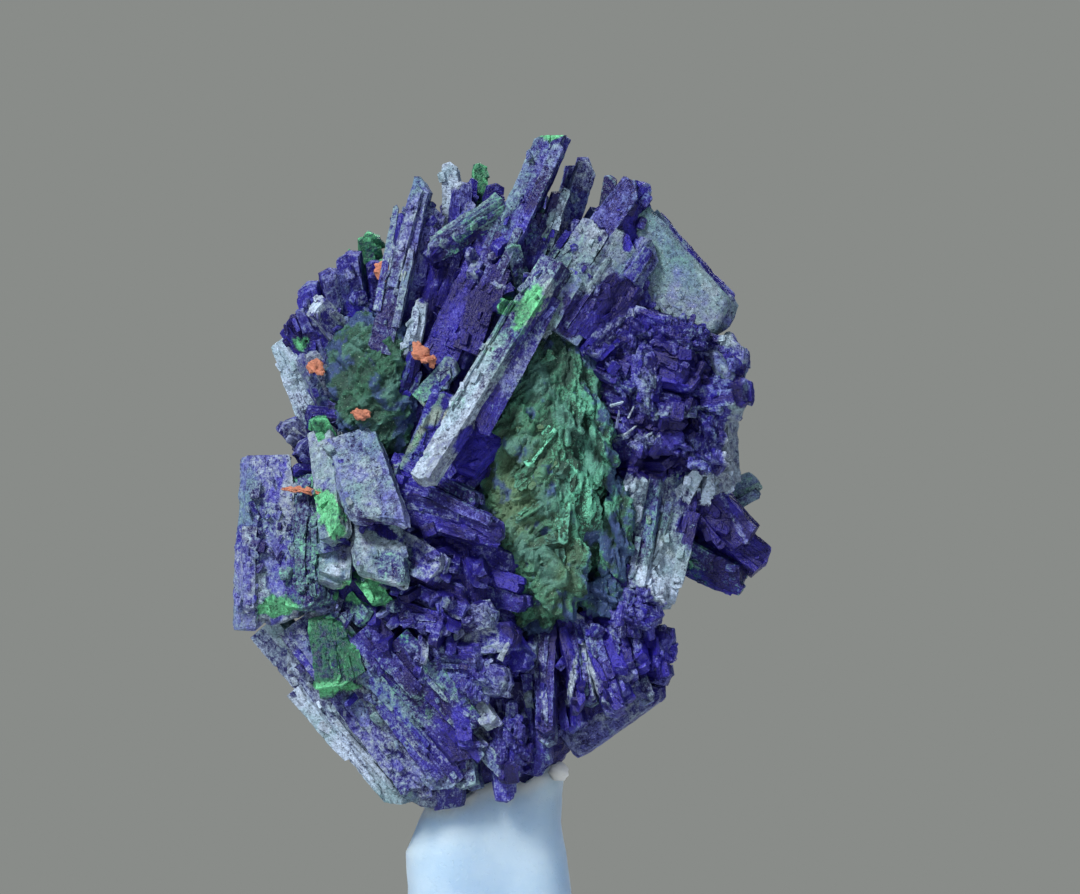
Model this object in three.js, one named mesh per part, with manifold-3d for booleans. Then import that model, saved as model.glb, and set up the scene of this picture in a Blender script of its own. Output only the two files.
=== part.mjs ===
// An azurite specimen: a burr of bladed azurite crystals round green malachite, set in pale
// mounting wax on a clear foot. Millimetres, +Z up, seen from the front along +Y.
// The origin is the centre of the foot's underside.
import * as THREE from "three";
import { mergeVertices } from "three/addons/utils/BufferGeometryUtils.js";
import Module from "manifold-3d";

const wasm = await Module();
wasm.setup();

// Driving dimensions
const GAP = 0.3; // between pieces that touch
const SMALLEST_FACE = 0.1; // corners nearer than this become one
const BURR_CENTRE = [-1, 0, 58]; // the point that the crystals grow out from
const BACK_REACH = [20, 18, 28]; // how far the back blades reach from the centre
const EDGE_BEVEL = 0.28; // share of a blade's thickness taken by its side bevels
const FACE_BEVEL = 0.84; // share of a blade's width left flat on its broad face
const SLIM_WIDTH = 4.3; // a front blade narrower than this is slim, and so is every back blade
const WAX_FOOT_Z = 7.3;
const FOOT_SIZE = [44, 38, 7];
const FOOT_ROUNDING = 5;
const FOOT_BEVEL = 0.8;

// Crystals of the front, each from its root to its tip in millimetres, then its width,
// thickness, roll in degrees about its own length, tip width over root width, and how far
// the two corners of the tip stop short of its point.
const FRONT_CRYSTALS = {
  upperFan: [
    [-3.6, -9.0, 68.5, 6.7, -9.4, 92.0, 3.4, 3.2, -25, 0.85, 1.6, 0.3],
    [4.4, -7.2, 73.5, 9.8, -6.0, 89.0, 2.6, 2.4, 12, 0.75, 0.4, 1.2],
    [5.2, -8.4, 80.3, 7.2, -9.6, 86.0, 1.9, 1.2, 5, 0.95, 0.4, 0.2],
    [6.6, -5.0, 80.0, 8.3, -4.6, 88.2, 1.7, 1.6, 20, 0.8, 0.2, 0.7],
    [10.4, -5.5, 76.0, 12.1, -5.4, 87.5, 1.7, 1.6, -10, 0.75, 0.2, 0.5],
    [6.8, -10.0, 76.2, 14.5, -9.2, 86.6, 2.7, 2.8, -12, 0.9, 0.3, 1.4],
    [9.8, -8.8, 74.6, 15.5, -7.6, 86.4, 2.5, 2.8, 24, 0.85, 0.2, 1.6],
    [4.0, -10.8, 72.0, 10.8, -10.2, 82.6, 3.6, 2.4, -8, 0.9, 0.6, 1.0],
    [7.0, -10.2, 71.4, 13.6, -9.6, 81.4, 3.4, 2.4, 10, 0.9, 0.4, 1.2],
    [9.8, -9.6, 70.8, 16.0, -8.6, 80.6, 3.4, 2.6, 18, 0.85, 0.5, 1.4],
    [12.0, -8.4, 71.4, 15.6, -7.4, 79.8, 2.6, 2.4, 6, 0.9, 0.5, 1.0],
    [15.0, -5.6, 82.6, 24.0, -4.8, 72.4, 4.6, 2.6, 16, 0.95, 1.4, 0.3],
    [13.2, -6.8, 81.0, 21.6, -6.4, 70.8, 5.4, 2.6, 6, 0.9, 1.2, 0.6],
    [15.6, -2.0, 82.4, 24.2, -1.2, 73.4, 3.4, 3.0, 30, 0.9, 1.2, 0.6],
    [-10.9, -9.8, 69.6, -6.5, -8.6, 87.0, 2.7, 2.6, -16, 0.7, 0.2, 1.5],
    [-5.2, -9.6, 68.2, 1.4, -9.0, 82.4, 4.4, 2.6, -16, 0.9, 0.4, 1.2],
    [-2.4, -11.0, 69.8, 1.0, -10.4, 78.6, 2.8, 2.0, -8, 0.85, 0.3, 0.8],
    [1.4, -9.0, 84.4, -6.0, -10.4, 79.6, 2.6, 2.0, -34, 0.9, 0.3, 0.9],
    [-3.4, -4.0, 80.0, -4.0, -5.4, 88.8, 2.2, 1.9, -18, 0.7, 0.3, 0.8],
    [-2.4, -4.0, 80.0, -1.8, -4.8, 87.4, 1.4, 1.3, 8, 0.8, 0.3, 0.4],
    [-3.5, -6.4, 77.2, -2.9, -7.2, 86.4, 2.3, 2.0, 14, 0.75, 0.7, 0.3],
    [-1.0, -3.0, 80.2, -1.1, -2.4, 88.8, 1.8, 1.6, 0, 0.75, 0.3, 0.5],
    [-1.2, -6.0, 78.0, 0.6, -7.2, 86.2, 2.2, 1.8, 20, 0.8, 0.5, 0.3],
    [-8.2, -9.4, 68.6, -6.6, -11.0, 75.2, 2.0, 1.9, -10, 0.55, 0.4, 0.6],
    [-6.8, -9.6, 65.0, -3.4, -12.2, 68.8, 2.2, 1.4, -12, 0.9, 0.3, 0.6],
    [-8.8, -9.0, 65.2, -7.2, -11.4, 69.8, 1.7, 1.5, 16, 0.8, 0.4, 0.2],
    [-7.0, -9.0, 58.6, -4.4, -11.8, 65.8, 3.2, 2.2, -10, 0.85, 0.6, 0.4],
    [-8.8, -7.4, 72.0, -5.6, -7.8, 84.4, 3.0, 2.2, 12, 0.8, 0.5, 0.8],
    [-7.2, -8.2, 69.0, -3.0, -8.4, 82.4, 3.4, 2.2, 24, 0.85, 0.6, 0.5],
    [0.6, -8.8, 70.4, 5.2, -8.6, 83.8, 3.4, 2.4, 12, 0.85, 0.5, 0.9],
  ],
  centre: [
    [6.6, -12.0, 78.6, -6.9, -16.8, 56.5, 2.9, 2.8, 26, 0.8, 0.9, 0.2],
    [5.6, -11.6, 75.4, -1.2, -14.8, 61.8, 2.6, 2.8, -20, 0.8, 0.4, 1.4],
    [4.0, -10.6, 72.8, 0.6, -13.8, 74.6, 2.0, 1.4, 0, 0.8, 0.2, 0.6],
    [3.4, -9.0, 65.2, -3.0, -12.8, 58.2, 4.2, 2.0, 14, 0.85, 0.6, 0.8],
    [0.4, -8.0, 60.6, -5.0, -12.2, 54.6, 3.8, 2.2, 0, 0.85, 0.5, 0.7],
    [3.2, -9.0, 76.2, 2.2, -11.6, 80.4, 1.7, 1.4, 10, 0.8, 0.2, 0.4],
  ],
  leftTop: [
    [-12.8, -3.4, 69.4, -14.2, -6.8, 79.4, 2.8, 2.8, -14, 0.9, 0.7, 0.3],
    [-14.6, -3.0, 68.6, -15.8, -7.0, 78.0, 2.7, 2.6, 14, 0.85, 0.4, 0.7],
    [-15.2, -3.0, 66.6, -18.4, -6.8, 76.4, 2.8, 2.6, -16, 0.85, 0.9, 0.3],
    [-13.8, -5.0, 70.4, -17.4, -9.2, 74.4, 2.6, 2.2, 10, 0.9, 0.3, 0.3],
    [-14.6, -2.4, 65.0, -20.2, -5.2, 73.6, 2.8, 2.4, -10, 0.85, 0.6, 0.4],
    [-16.4, -2.2, 60.6, -20.6, -3.6, 71.6, 3.4, 2.8, -30, 0.85, 0.7, 0.2],
    [-14.2, -4.6, 60.8, -18.4, -7.8, 69.6, 2.8, 2.4, 8, 0.85, 0.5, 0.5],
    [-11.8, -2.2, 73.2, -12.2, -3.6, 81.6, 3.0, 2.6, 0, 0.75, 0.6, 0.5],
    [-10.8, -4.6, 72.8, -11.8, -6.8, 79.2, 1.7, 1.5, 10, 0.85, 0.4, 0.3],
    [-15.6, -3.4, 57.6, -20.6, -6.2, 62.8, 2.6, 2.3, -10, 0.85, 0.4, 0.6],
    [-14.8, -5.0, 55.6, -19.0, -8.6, 60.6, 2.4, 2.2, 12, 0.85, 0.5, 0.4],
    [-14.2, -6.4, 56.8, -17.2, -10.2, 63.2, 2.2, 2.0, 0, 0.8, 0.3, 0.5],
  ],
  leftBlock: [
    [-21.9, -7.4, 59.6, -22.3, -10.0, 42.6, 6.4, 4.8, -8, 1.08, 0.9, 0.0],
    [-18.2, -7.6, 57.0, -18.4, -11.2, 44.0, 3.6, 4.6, 16, 1.0, 0.4, 0.5],
    [-17.2, -7.6, 56.4, -17.4, -11.6, 44.2, 3.4, 4.6, 30, 1.0, 0.4, 0.4],
    [-15.6, -7.0, 47.4, -16.8, -10.8, 43.4, 3.8, 2.8, 0, 0.9, 0.2, 0.4],
  ],
  leftPlates: [
    [-13.8, -9.8, 61.0, -10.9, -17.2, 52.9, 5.6, 3.0, -6, 1.05, -1.6, 1.7],
    [-12.0, -8.2, 57.2, -10.6, -15.8, 47.0, 5.4, 2.8, -4, 0.98, -1.3, 1.4],
    [-16.4, -8.4, 61.6, -15.2, -14.6, 51.2, 2.8, 3.0, 26, 1.0, 0.7, 0.2],
    [-15.2, -8.0, 54.4, -15.4, -13.4, 46.8, 3.6, 2.8, -8, 0.95, 0.3, 0.7],
    [-14.6, -7.8, 50.6, -10.6, -12.6, 44.8, 3.0, 2.4, 0, 0.7, 0.2, 0.9],
    [-15.8, -7.4, 46.8, -12.2, -11.4, 43.0, 2.6, 2.2, 10, 0.85, 0.3, 0.5],
  ],
  rightPlates: [
    [-10.0, -10.4, 55.4, 1.4, -15.4, 51.4, 4.8, 2.6, 10, 0.6, 0.9, 1.4],
    [-10.4, -10.6, 51.0, -4.6, -15.2, 47.8, 3.8, 2.2, -8, 0.9, 0.6, 0.4],
    [-9.6, -9.6, 47.8, -2.2, -14.4, 44.6, 3.6, 2.2, 12, 0.85, 1.0, 0.4],
    [-10.6, -9.8, 44.2, -4.2, -14.2, 42.6, 2.6, 2.0, -6, 0.9, 0.6, 0.2],
    [-7.0, -9.8, 42.2, 0.4, -14.8, 43.8, 2.9, 2.0, 8, 0.9, 0.3, 0.8],
    [-5.4, -9.2, 40.6, 2.6, -14.4, 41.6, 3.4, 2.2, -6, 0.85, 0.6, 0.8],
    [-8.4, -9.6, 39.8, -0.8, -14.0, 39.6, 2.5, 1.9, 12, 0.9, 0.2, 0.5],
    [-6.6, -8.8, 38.6, 2.2, -13.6, 36.8, 4.4, 3.0, 0, 0.75, 1.2, 0.9],
    [-0.6, -8.2, 43.8, 3.8, -12.4, 38.4, 3.0, 2.4, 16, 0.75, 0.5, 0.9],
    [-4.4, -8.6, 52.0, 2.6, -12.8, 48.6, 2.6, 2.0, 10, 0.7, 0.6, 0.2],
    [-5.0, -9.0, 49.4, 3.4, -13.0, 46.4, 2.5, 2.0, -8, 0.7, 0.7, 0.3],
    [-4.6, -8.6, 46.8, 3.8, -12.8, 44.6, 2.5, 2.0, 8, 0.7, 0.3, 0.7],
    [-9.6, -9.4, 58.4, -1.0, -13.6, 54.6, 3.0, 2.2, 6, 0.7, 0.7, 0.6],
  ],
  lowerLeft: [
    [-22.2, -5.2, 42.6, -8.0, -6.4, 24.6, 3.8, 3.4, 22, 0.92, 0.2, 1.6],
    [-19.4, -8.0, 42.8, -6.6, -8.8, 25.8, 4.0, 3.2, -8, 0.95, 0.3, 1.4],
    [-16.0, -9.4, 42.6, -3.6, -9.6, 26.4, 4.2, 3.4, 10, 0.95, 0.3, 1.2],
    [-12.6, -10.2, 42.2, -1.6, -10.4, 29.0, 4.0, 3.2, -8, 0.92, 0.4, 1.0],
    [-9.2, -10.6, 41.2, -1.2, -11.4, 32.2, 3.4, 2.8, 10, 0.85, 0.4, 0.8],
    [-16.2, -10.4, 43.4, -14.6, -12.0, 36.0, 3.8, 2.0, -10, 1.35, 1.0, 0.1],
  ],
  bottom: [
    [-7.0, -6.6, 39.0, -5.6, -7.4, 24.4, 6.0, 3.6, -8, 1.1, 0.3, 0.9],
    [-3.6, -7.6, 37.6, -2.6, -9.4, 26.2, 3.8, 3.2, 14, 0.95, 0.4, 1.0],
    [-3.1, -9.4, 37.0, -2.4, -12.0, 30.8, 1.9, 1.8, 0, 0.7, 0.2, 0.4],
    [-3.0, -9.4, 36.6, 0.4, -12.8, 32.6, 2.3, 1.8, 0, 0.7, 0.2, 0.7],
    [-3.0, -8.8, 32.8, 2.2, -11.6, 27.4, 1.9, 1.7, 14, 0.9, 0.2, 0.5],
    [0.4, -7.6, 36.0, 1.6, -9.2, 25.2, 3.2, 2.6, -10, 0.7, 0.6, 0.5],
    [3.4, -7.2, 40.0, 4.6, -8.6, 26.6, 4.6, 3.4, 8, 0.9, 0.7, 0.9],
    [16.2, -4.0, 36.8, 7.4, -5.2, 30.4, 4.6, 3.4, 0, 0.95, 0.5, 0.8],
    [15.0, -1.6, 40.2, 8.6, -2.4, 32.2, 5.0, 4.4, 0, 0.9, 0.5, 0.8],
  ],
  right: [
    [15.8, -6.6, 76.0, 9.6, -10.8, 69.2, 2.6, 2.4, -16, 0.85, 0.4, 0.6],
    [11.0, -6.0, 73.4, 20.0, -9.8, 70.6, 5.0, 3.4, 24, 0.75, 0.6, 1.0],
    [10.4, -6.4, 69.8, 20.6, -11.4, 67.4, 5.0, 3.4, -18, 0.75, 1.2, 0.6],
    [10.4, -6.2, 66.4, 19.8, -10.6, 63.4, 4.8, 3.2, 20, 0.75, 0.5, 1.2],
    [15.0, -4.0, 70.4, 25.5, -8.0, 68.2, 6.4, 4.4, -14, 0.75, 1.2, 0.5],
    [15.0, -4.6, 67.0, 25.8, -9.4, 64.8, 5.4, 4.4, 14, 0.8, 0.4, 1.0],
    [10.8, -5.6, 63.4, 18.8, -9.6, 60.8, 4.6, 3.0, -16, 0.8, 0.5, 0.9],
    [14.6, -4.2, 64.2, 23.2, -8.0, 59.2, 5.2, 3.6, 18, 0.8, 1.0, 0.6],
    [22.4, -2.4, 68.0, 23.2, -4.4, 56.0, 3.6, 3.4, 24, 0.85, 0.3, 0.6],
    [18.6, -4.2, 53.4, 20.8, -7.6, 57.8, 1.9, 1.7, -8, 0.8, 0.4, 0.2],
    [20.6, -3.8, 53.0, 22.2, -6.8, 57.0, 1.6, 1.5, 10, 0.8, 0.2, 0.3],
    [21.8, -2.8, 53.4, 23.8, -6.0, 58.0, 1.9, 1.7, 0, 0.8, 0.2, 0.4],
    [19.6, -4.2, 60.0, 16.4, -6.8, 44.6, 4.2, 3.6, -14, 1.0, 0.2, 0.9],
    [16.2, -5.6, 59.4, 14.2, -8.0, 46.0, 3.6, 3.2, 16, 1.0, 0.4, 0.5],
    [13.4, -5.8, 51.6, 14.8, -9.0, 57.8, 3.0, 2.4, -14, 0.8, 0.3, 0.6],
    [12.6, -5.8, 58.4, 12.6, -8.4, 45.6, 2.8, 2.6, 0, 0.9, 0.3, 0.4],
    [17.8, -2.6, 59.4, 26.0, -4.6, 50.8, 4.2, 3.2, 10, 0.85, 0.6, 0.4],
    [17.4, -1.6, 56.4, 27.6, -3.0, 48.4, 3.8, 3.2, -24, 0.85, 0.6, 0.3],
    [15.8, -1.0, 51.6, 25.6, -2.4, 46.8, 3.8, 3.2, 20, 0.9, 0.9, 0.3],
    [21.0, -0.2, 52.4, 26.6, -0.8, 57.0, 2.6, 2.4, 0, 0.85, 0.4, 0.4],
    [11.8, -6.2, 44.0, 16.8, -10.0, 43.4, 3.2, 3.2, 10, 0.7, 0.7, 0.6],
    [11.8, -5.4, 42.0, 18.0, -8.2, 41.2, 2.5, 2.4, -10, 0.8, 0.5, 0.4],
    [11.4, -5.0, 40.2, 18.8, -7.0, 39.8, 2.6, 2.6, 12, 0.8, 0.5, 0.5],
    [11.2, -4.8, 38.4, 18.2, -6.6, 37.4, 2.6, 2.6, -6, 0.8, 0.5, 0.5],
    [10.6, -4.4, 37.2, 17.4, -6.0, 35.2, 2.6, 2.6, 8, 0.8, 0.4, 0.7],
  ],
  comb: [
    [6.0, -7.6, 43.0, 5.6, -11.4, 31.0, 2.0, 3.2, 12, 0.8, 0.5, 0.9],
    [7.2, -7.8, 43.4, 8.8, -12.4, 34.4, 1.5, 3.0, -12, 0.85, 0.8, 0.2],
    [8.4, -7.4, 42.8, 10.0, -11.6, 34.4, 1.8, 3.2, 10, 0.9, 0.3, 0.6],
    [9.0, -7.6, 43.2, 12.6, -12.0, 33.8, 2.2, 3.2, -8, 0.9, 0.2, 0.9],
    [10.6, -7.0, 42.4, 13.6, -11.0, 35.0, 1.9, 3.0, 14, 0.85, 0.2, 0.8],
    [11.6, -7.0, 43.4, 13.6, -12.2, 37.6, 3.0, 2.8, -10, 0.8, 0.4, 0.9],
    [13.2, -6.4, 43.0, 15.0, -11.0, 38.6, 2.4, 2.8, 12, 0.85, 0.2, 0.6],
    [13.0, -6.0, 40.6, 15.6, -9.2, 34.8, 2.2, 3.0, -12, 0.85, 0.2, 0.9],
  ],
};

// Rings of blades over the back and the flanks. Angle 0 is straight back and 90 is the right flank.
const BACK_RINGS = [
  { height: -66, from: -90, to: 90, count: 5, width: 5.8 },
  { height: -40, from: -100, to: 100, count: 7, width: 6.8 },
  { height: -14, from: -104, to: 104, count: 8, width: 7.4 },
  { height: 12, from: -104, to: 104, count: 8, width: 7.2 },
  { height: 38, from: -100, to: 100, count: 7, width: 6.4 },
  { height: 64, from: -90, to: 90, count: 5, width: 5.4 },
];

// The rough masses under the blades, each given as its centre and radii
const MASSES = [
  { centre: [-1, 0.5, 58], radii: [15, 10.5, 22], detail: 1, bump: 0.12 },
  { centre: [-12, -5, 51], radii: [8, 6.4, 9.6], detail: 0 },
  { centre: [-4, -6.4, 46], radii: [7, 6, 8.6], detail: 0 },
  { centre: [14, -2, 65], radii: [8.6, 6, 9.6], detail: 0 },
  { centre: [4, -3.4, 76], radii: [12, 5.6, 7], detail: 0 },
  { centre: [-10, -3.6, 38], radii: [8, 6, 8], detail: 0 },
  { centre: [8, -2.6, 39], radii: [8.4, 6, 7], detail: 0 },
  { centre: [0, -0.5, 34], radii: [8.6, 7, 9.4], detail: 0 },
];

// Malachite lumps: centre, radii, and the number of ridges round them
const MALACHITE = {
  malachite_core: { centre: [5.0, -6.6, 57.2], radii: [6.6, 6.6, 17.4], ridges: 9, lean: 0.06 },
  malachite_left: { centre: [-11.6, -6.4, 66.2], radii: [4.6, 5.2, 7.2], ridges: 6, lean: -0.12, detail: 2 },
};

// A repeatable number from 0 to 1 for each whole number
function chance(n) {
  const s = Math.sin(n * 12.9898 + 4.1414) * 43758.5453;
  return s - Math.floor(s);
}

const add = (a, b, k = 1) => a.map((v, i) => v + b[i] * k);

// The directions of a blade: along it, out of its broad face, and across that face
function bladeAxes(root, tip, roll) {
  const along = new THREE.Vector3(...add(tip, root, -1)).normalize();
  const front = Math.abs(along.y) > 0.95 ? new THREE.Vector3(0, 0, 1) : new THREE.Vector3(0, -1, 0);
  const face = front.addScaledVector(along, -front.dot(along)).normalize();
  face.applyAxisAngle(along, THREE.MathUtils.degToRad(roll));
  return { along, face, across: new THREE.Vector3().crossVectors(along, face) };
}

// A closed mesh of rings with the same number of points, the first and last ring capped flat
function ringSolid(rings) {
  const n = rings[0].length;
  const points = rings.flat();
  const faces = [];
  for (let r = 0; r + 1 < rings.length; r++)
    for (let i = 0; i < n; i++) {
      const [a, b] = [r * n + i, r * n + ((i + 1) % n)];
      faces.push(a, b, b + n, a, b + n, a + n);
    }
  const last = points.length - n;
  for (let i = 1; i + 1 < n; i++) faces.push(0, i + 1, i, last, last + i, last + i + 1);
  return manifoldOf(points.flatMap((p) => [p.x, p.y, p.z]), faces);
}

function manifoldOf(coordinates, faces) {
  const vertProperties = new Float32Array(coordinates);
  return new wasm.Manifold(new wasm.Mesh({ numProp: 3, vertProperties, triVerts: new Uint32Array(faces) }));
}

// Sections of a blade, as shares of its half width and half thickness: a broad one has two flat
// faces between two pairs of side bevels, and a slim one is a skewed rectangle.
const BROAD_SECTION = [
  [-1, 0],
  [-FACE_BEVEL, 1],
  [FACE_BEVEL, 1 - EDGE_BEVEL],
  [1, 0],
  [FACE_BEVEL, -1],
  [-FACE_BEVEL, -1 + EDGE_BEVEL],
];
const SLIM_SECTION = [
  [-1, -0.8],
  [-0.88, 1],
  [1, 0.8],
  [0.88, -1],
];

// A blade is rings of its section: at its root, at the slanted end of its tip and, on a broad one,
// at the shoulder where the tip's chisel starts
function blade(row, grow = 0, slim = row[6] < SLIM_WIDTH) {
  const [rx, ry, rz, tx, ty, tz, width, thick, roll, taper, shortLeft, shortRight] = row;
  const root = [rx, ry, rz];
  const tip = [tx, ty, tz];
  const { along, face, across } = bladeAxes(root, tip, roll);
  const length = new THREE.Vector3(...add(tip, root, -1)).length() + grow;
  const ring = (scale, reach, flat) =>
    (slim ? SLIM_SECTION : BROAD_SECTION).map(([s, t]) => {
      const short = s < 0 ? shortLeft * -s : shortRight * s;
      return new THREE.Vector3(...root)
        .addScaledVector(across, s * (width / 2 + grow) * scale)
        .addScaledVector(face, t * (thick / 2 + grow) * flat)
        .addScaledVector(along, reach - (reach > 0 ? short : grow));
    });
  if (slim) return ringSolid([ring(1, 0, 1), ring(taper, length, 0.85)]);
  const chisel = Math.min(0.35 * thick, 0.2 * length);
  return ringSolid([ring(1, 0, 1), ring(taper, length - chisel, 1), ring(taper * 0.9, length, 0.5)]);
}

// A lump is a ball pushed out and in by its own ridges and bumps, given as centre and radii
function lump({ centre, radii, detail = 3, ridges = 0, bump = 0.08, lean = 0 }, grow = 0) {
  const ball = new THREE.IcosahedronGeometry(1, detail);
  ball.deleteAttribute("normal");
  ball.deleteAttribute("uv");
  const merged = mergeVertices(ball, 1e-4);
  const place = merged.getAttribute("position");
  const p = new THREE.Vector3();
  for (let i = 0; i < place.count; i++) {
    p.fromBufferAttribute(place, i).normalize();
    const turn = Math.atan2(p.x, -p.y);
    const broad = Math.sin(5.1 * p.x + 3.3 * p.z + 1) * Math.sin(4.3 * p.y - 2.7 * p.z);
    const bumps = broad + Math.sin(7.7 * p.z + 4.9 * p.x);
    const ridge = ridges ? 0.05 * Math.cos(ridges * (turn + 1.4 * p.z)) * (1 - p.z * p.z) : 0;
    const swell = 1 + bump * 0.5 * bumps + ridge;
    place.setXYZ(
      i,
      centre[0] + p.x * (radii[0] * swell + grow) + lean * radii[2] * p.z,
      centre[1] + p.y * (radii[1] * swell + grow),
      centre[2] + p.z * (radii[2] * swell + grow),
    );
  }
  return manifoldOf(place.array, merged.index.array);
}

// Blades over the back and the flanks: each ring's blades stand out from the centre, shaken a little
function backCrystals() {
  const rows = [];
  for (const [k, ring] of BACK_RINGS.entries())
    for (let i = 0; i < ring.count; i++) {
      const n = 40 * k + i;
      const turn = THREE.MathUtils.degToRad(
        ring.from + ((ring.to - ring.from) * (i + 0.6 * chance(n) - 0.3)) / (ring.count - 1),
      );
      const lift = THREE.MathUtils.degToRad(ring.height + 14 * (chance(n + 7) - 0.5));
      const out = [Math.sin(turn) * Math.cos(lift), Math.cos(turn) * Math.cos(lift), Math.sin(lift)];
      const reach = 0.86 + 0.14 * chance(n + 13);
      const tip = BURR_CENTRE.map((c, j) => c + out[j] * BACK_REACH[j] * reach);
      const sway = [8, 4, 9].map((s, j) => s * (chance(n + 17 + j) - 0.5));
      const root = BURR_CENTRE.map((c, j) => c + out[j] * BACK_REACH[j] * 0.3 + sway[j]);
      rows.push([...root, ...tip, ring.width * (0.75 + 0.5 * chance(n + 23)), 2.6 + 1.4 * chance(n + 29),
        180 * chance(n + 31), 0.85, 0.9 * chance(n + 37), 0.9 * chance(n + 41)]);
    }
  return rows;
}

const frontCrystals = Object.values(FRONT_CRYSTALS).flat();

// The azurite, and the same grown by the gap for cutting what it sits in
function azurite(grow = 0) {
  return wasm.Manifold.union([
    ...MASSES.map((mass) => lump(mass, grow)),
    ...frontCrystals.map((row) => blade(row, grow)),
    ...backCrystals().map((row) => blade(row, grow, true)),
  ]);
}

function biggest(solid) {
  return solid.decompose().reduce((a, b) => (a.volume() > b.volume() ? a : b));
}

// One closed body: corners that nearly meet are merged, then loose crumbs and inner bubbles dropped
function oneBody(solid) {
  const rough = geometryOf(biggest(solid.simplify(SMALLEST_FACE)));
  rough.deleteAttribute("normal");
  const merged = mergeVertices(rough, SMALLEST_FACE / 10);
  return biggest(manifoldOf(merged.getAttribute("position").array, merged.index.array));
}

// The wax is a soft block whose outline across the front is set by its height
const WAX_OUTLINE = [
  // height, left edge, right edge, half depth
  [WAX_FOOT_Z, -9.2, 9.2, 8.6],
  [12.0, -8.7, 8.5, 7.8],
  [16.0, -8.4, 8.1, 7.4],
  [19.5, -8.6, 7.8, 7.2],
  [22.5, -7.4, 7.3, 7.0],
  [25.0, -6.0, 7.3, 6.6],
  [27.2, -3.6, 7.6, 6.2],
  [28.4, 1.6, 7.2, 4.6],
];
const WAX_CORNERS = 16;

function wax() {
  const rings = WAX_OUTLINE.map(([z, left, right, depth]) =>
    Array.from({ length: WAX_CORNERS }, (_, i) => {
      const a = (2 * Math.PI * i) / WAX_CORNERS;
      const square = (v) => Math.sign(v) * Math.abs(v) ** 0.7;
      const x = (left + right) / 2 + ((right - left) / 2) * square(Math.cos(a));
      return new THREE.Vector3(x, depth * square(Math.sin(a)), z);
    }),
  );
  return ringSolid(rings);
}

function roundedRectangle(width, depth, radius) {
  const [x, y] = [width / 2, depth / 2];
  const shape = new THREE.Shape();
  const corners = [[x, -y], [x, y], [-x, y], [-x, -y]];
  for (const [i, [cx, cy]] of corners.entries()) {
    const start = (i - 1) * (Math.PI / 2);
    const centre = [cx - Math.sign(cx) * radius, cy - Math.sign(cy) * radius];
    shape.absarc(...centre, radius, start, start + Math.PI / 2);
  }
  return shape;
}

function footGeometry() {
  const [width, depth, height] = FOOT_SIZE;
  const shape = roundedRectangle(width - 2 * FOOT_BEVEL, depth - 2 * FOOT_BEVEL, FOOT_ROUNDING);
  return new THREE.ExtrudeGeometry(shape, {
    depth: height - 2 * FOOT_BEVEL,
    bevelThickness: FOOT_BEVEL,
    bevelSize: FOOT_BEVEL,
    bevelSegments: 1,
    curveSegments: 3,
  }).translate(0, 0, FOOT_BEVEL);
}

function geometryOf(solid) {
  const { vertProperties, triVerts } = solid.getMesh();
  const geometry = new THREE.BufferGeometry();
  geometry.setAttribute("position", new THREE.BufferAttribute(vertProperties, 3));
  geometry.setIndex(new THREE.BufferAttribute(triVerts, 1));
  geometry.computeVertexNormals();
  return geometry;
}

function piece(name, geometry, color, roughness) {
  const mesh = new THREE.Mesh(geometry, new THREE.MeshStandardMaterial({ color, roughness, metalness: 0 }));
  mesh.name = name;
  return mesh;
}

const grown = azurite(GAP);
const specimen = new THREE.Group();
specimen.add(piece("azurite_cluster", geometryOf(oneBody(azurite())), 0x2b2080, 0.55));
for (const [name, spec] of Object.entries(MALACHITE))
  specimen.add(piece(name, geometryOf(oneBody(lump(spec).subtract(grown))), 0x2f7a55, 0.7));
specimen.add(piece("wax_seat", geometryOf(oneBody(wax().subtract(grown))), 0xc4cddb, 0.45));
specimen.add(piece("stand_foot", footGeometry(), 0xdfe6ec, 0.2));

export default specimen;
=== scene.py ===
import math
import bpy
import numpy as np
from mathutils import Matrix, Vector


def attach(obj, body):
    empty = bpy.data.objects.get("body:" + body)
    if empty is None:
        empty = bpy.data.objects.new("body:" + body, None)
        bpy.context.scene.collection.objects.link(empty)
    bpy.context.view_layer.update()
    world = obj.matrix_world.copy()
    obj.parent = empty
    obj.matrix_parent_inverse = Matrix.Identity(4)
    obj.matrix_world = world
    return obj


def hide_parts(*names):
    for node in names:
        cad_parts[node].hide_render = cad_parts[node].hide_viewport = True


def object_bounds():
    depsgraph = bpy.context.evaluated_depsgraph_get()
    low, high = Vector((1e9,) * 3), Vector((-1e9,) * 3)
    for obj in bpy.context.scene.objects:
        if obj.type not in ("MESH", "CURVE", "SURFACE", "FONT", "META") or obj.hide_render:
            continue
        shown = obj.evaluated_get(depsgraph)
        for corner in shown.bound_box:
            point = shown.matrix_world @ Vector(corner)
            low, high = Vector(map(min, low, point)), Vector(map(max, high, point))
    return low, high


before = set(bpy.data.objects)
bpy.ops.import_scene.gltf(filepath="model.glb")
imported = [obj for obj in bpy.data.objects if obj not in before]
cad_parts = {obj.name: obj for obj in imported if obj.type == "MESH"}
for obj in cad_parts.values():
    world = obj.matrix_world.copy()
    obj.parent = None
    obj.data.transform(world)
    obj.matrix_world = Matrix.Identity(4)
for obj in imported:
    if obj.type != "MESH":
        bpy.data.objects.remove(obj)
cadLow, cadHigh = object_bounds()
print("frame loaded, nodes:", sorted(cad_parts))

mm = 0.001
margin = 0.02
cadLimits = np.array(cadLow) / mm + margin, np.array(cadHigh) / mm - margin  # no crystal reaches past these
uvScale = 100  # millimetres to one unit of a piece's map

bpy.context.scene.view_settings.view_transform = "Standard"


# numbers that vary smoothly: each corner of a lattice has a random slope, and a point takes the
# blend of what its eight nearest corners' slopes give there
latticeSize = 32
latticeStore = {}


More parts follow.
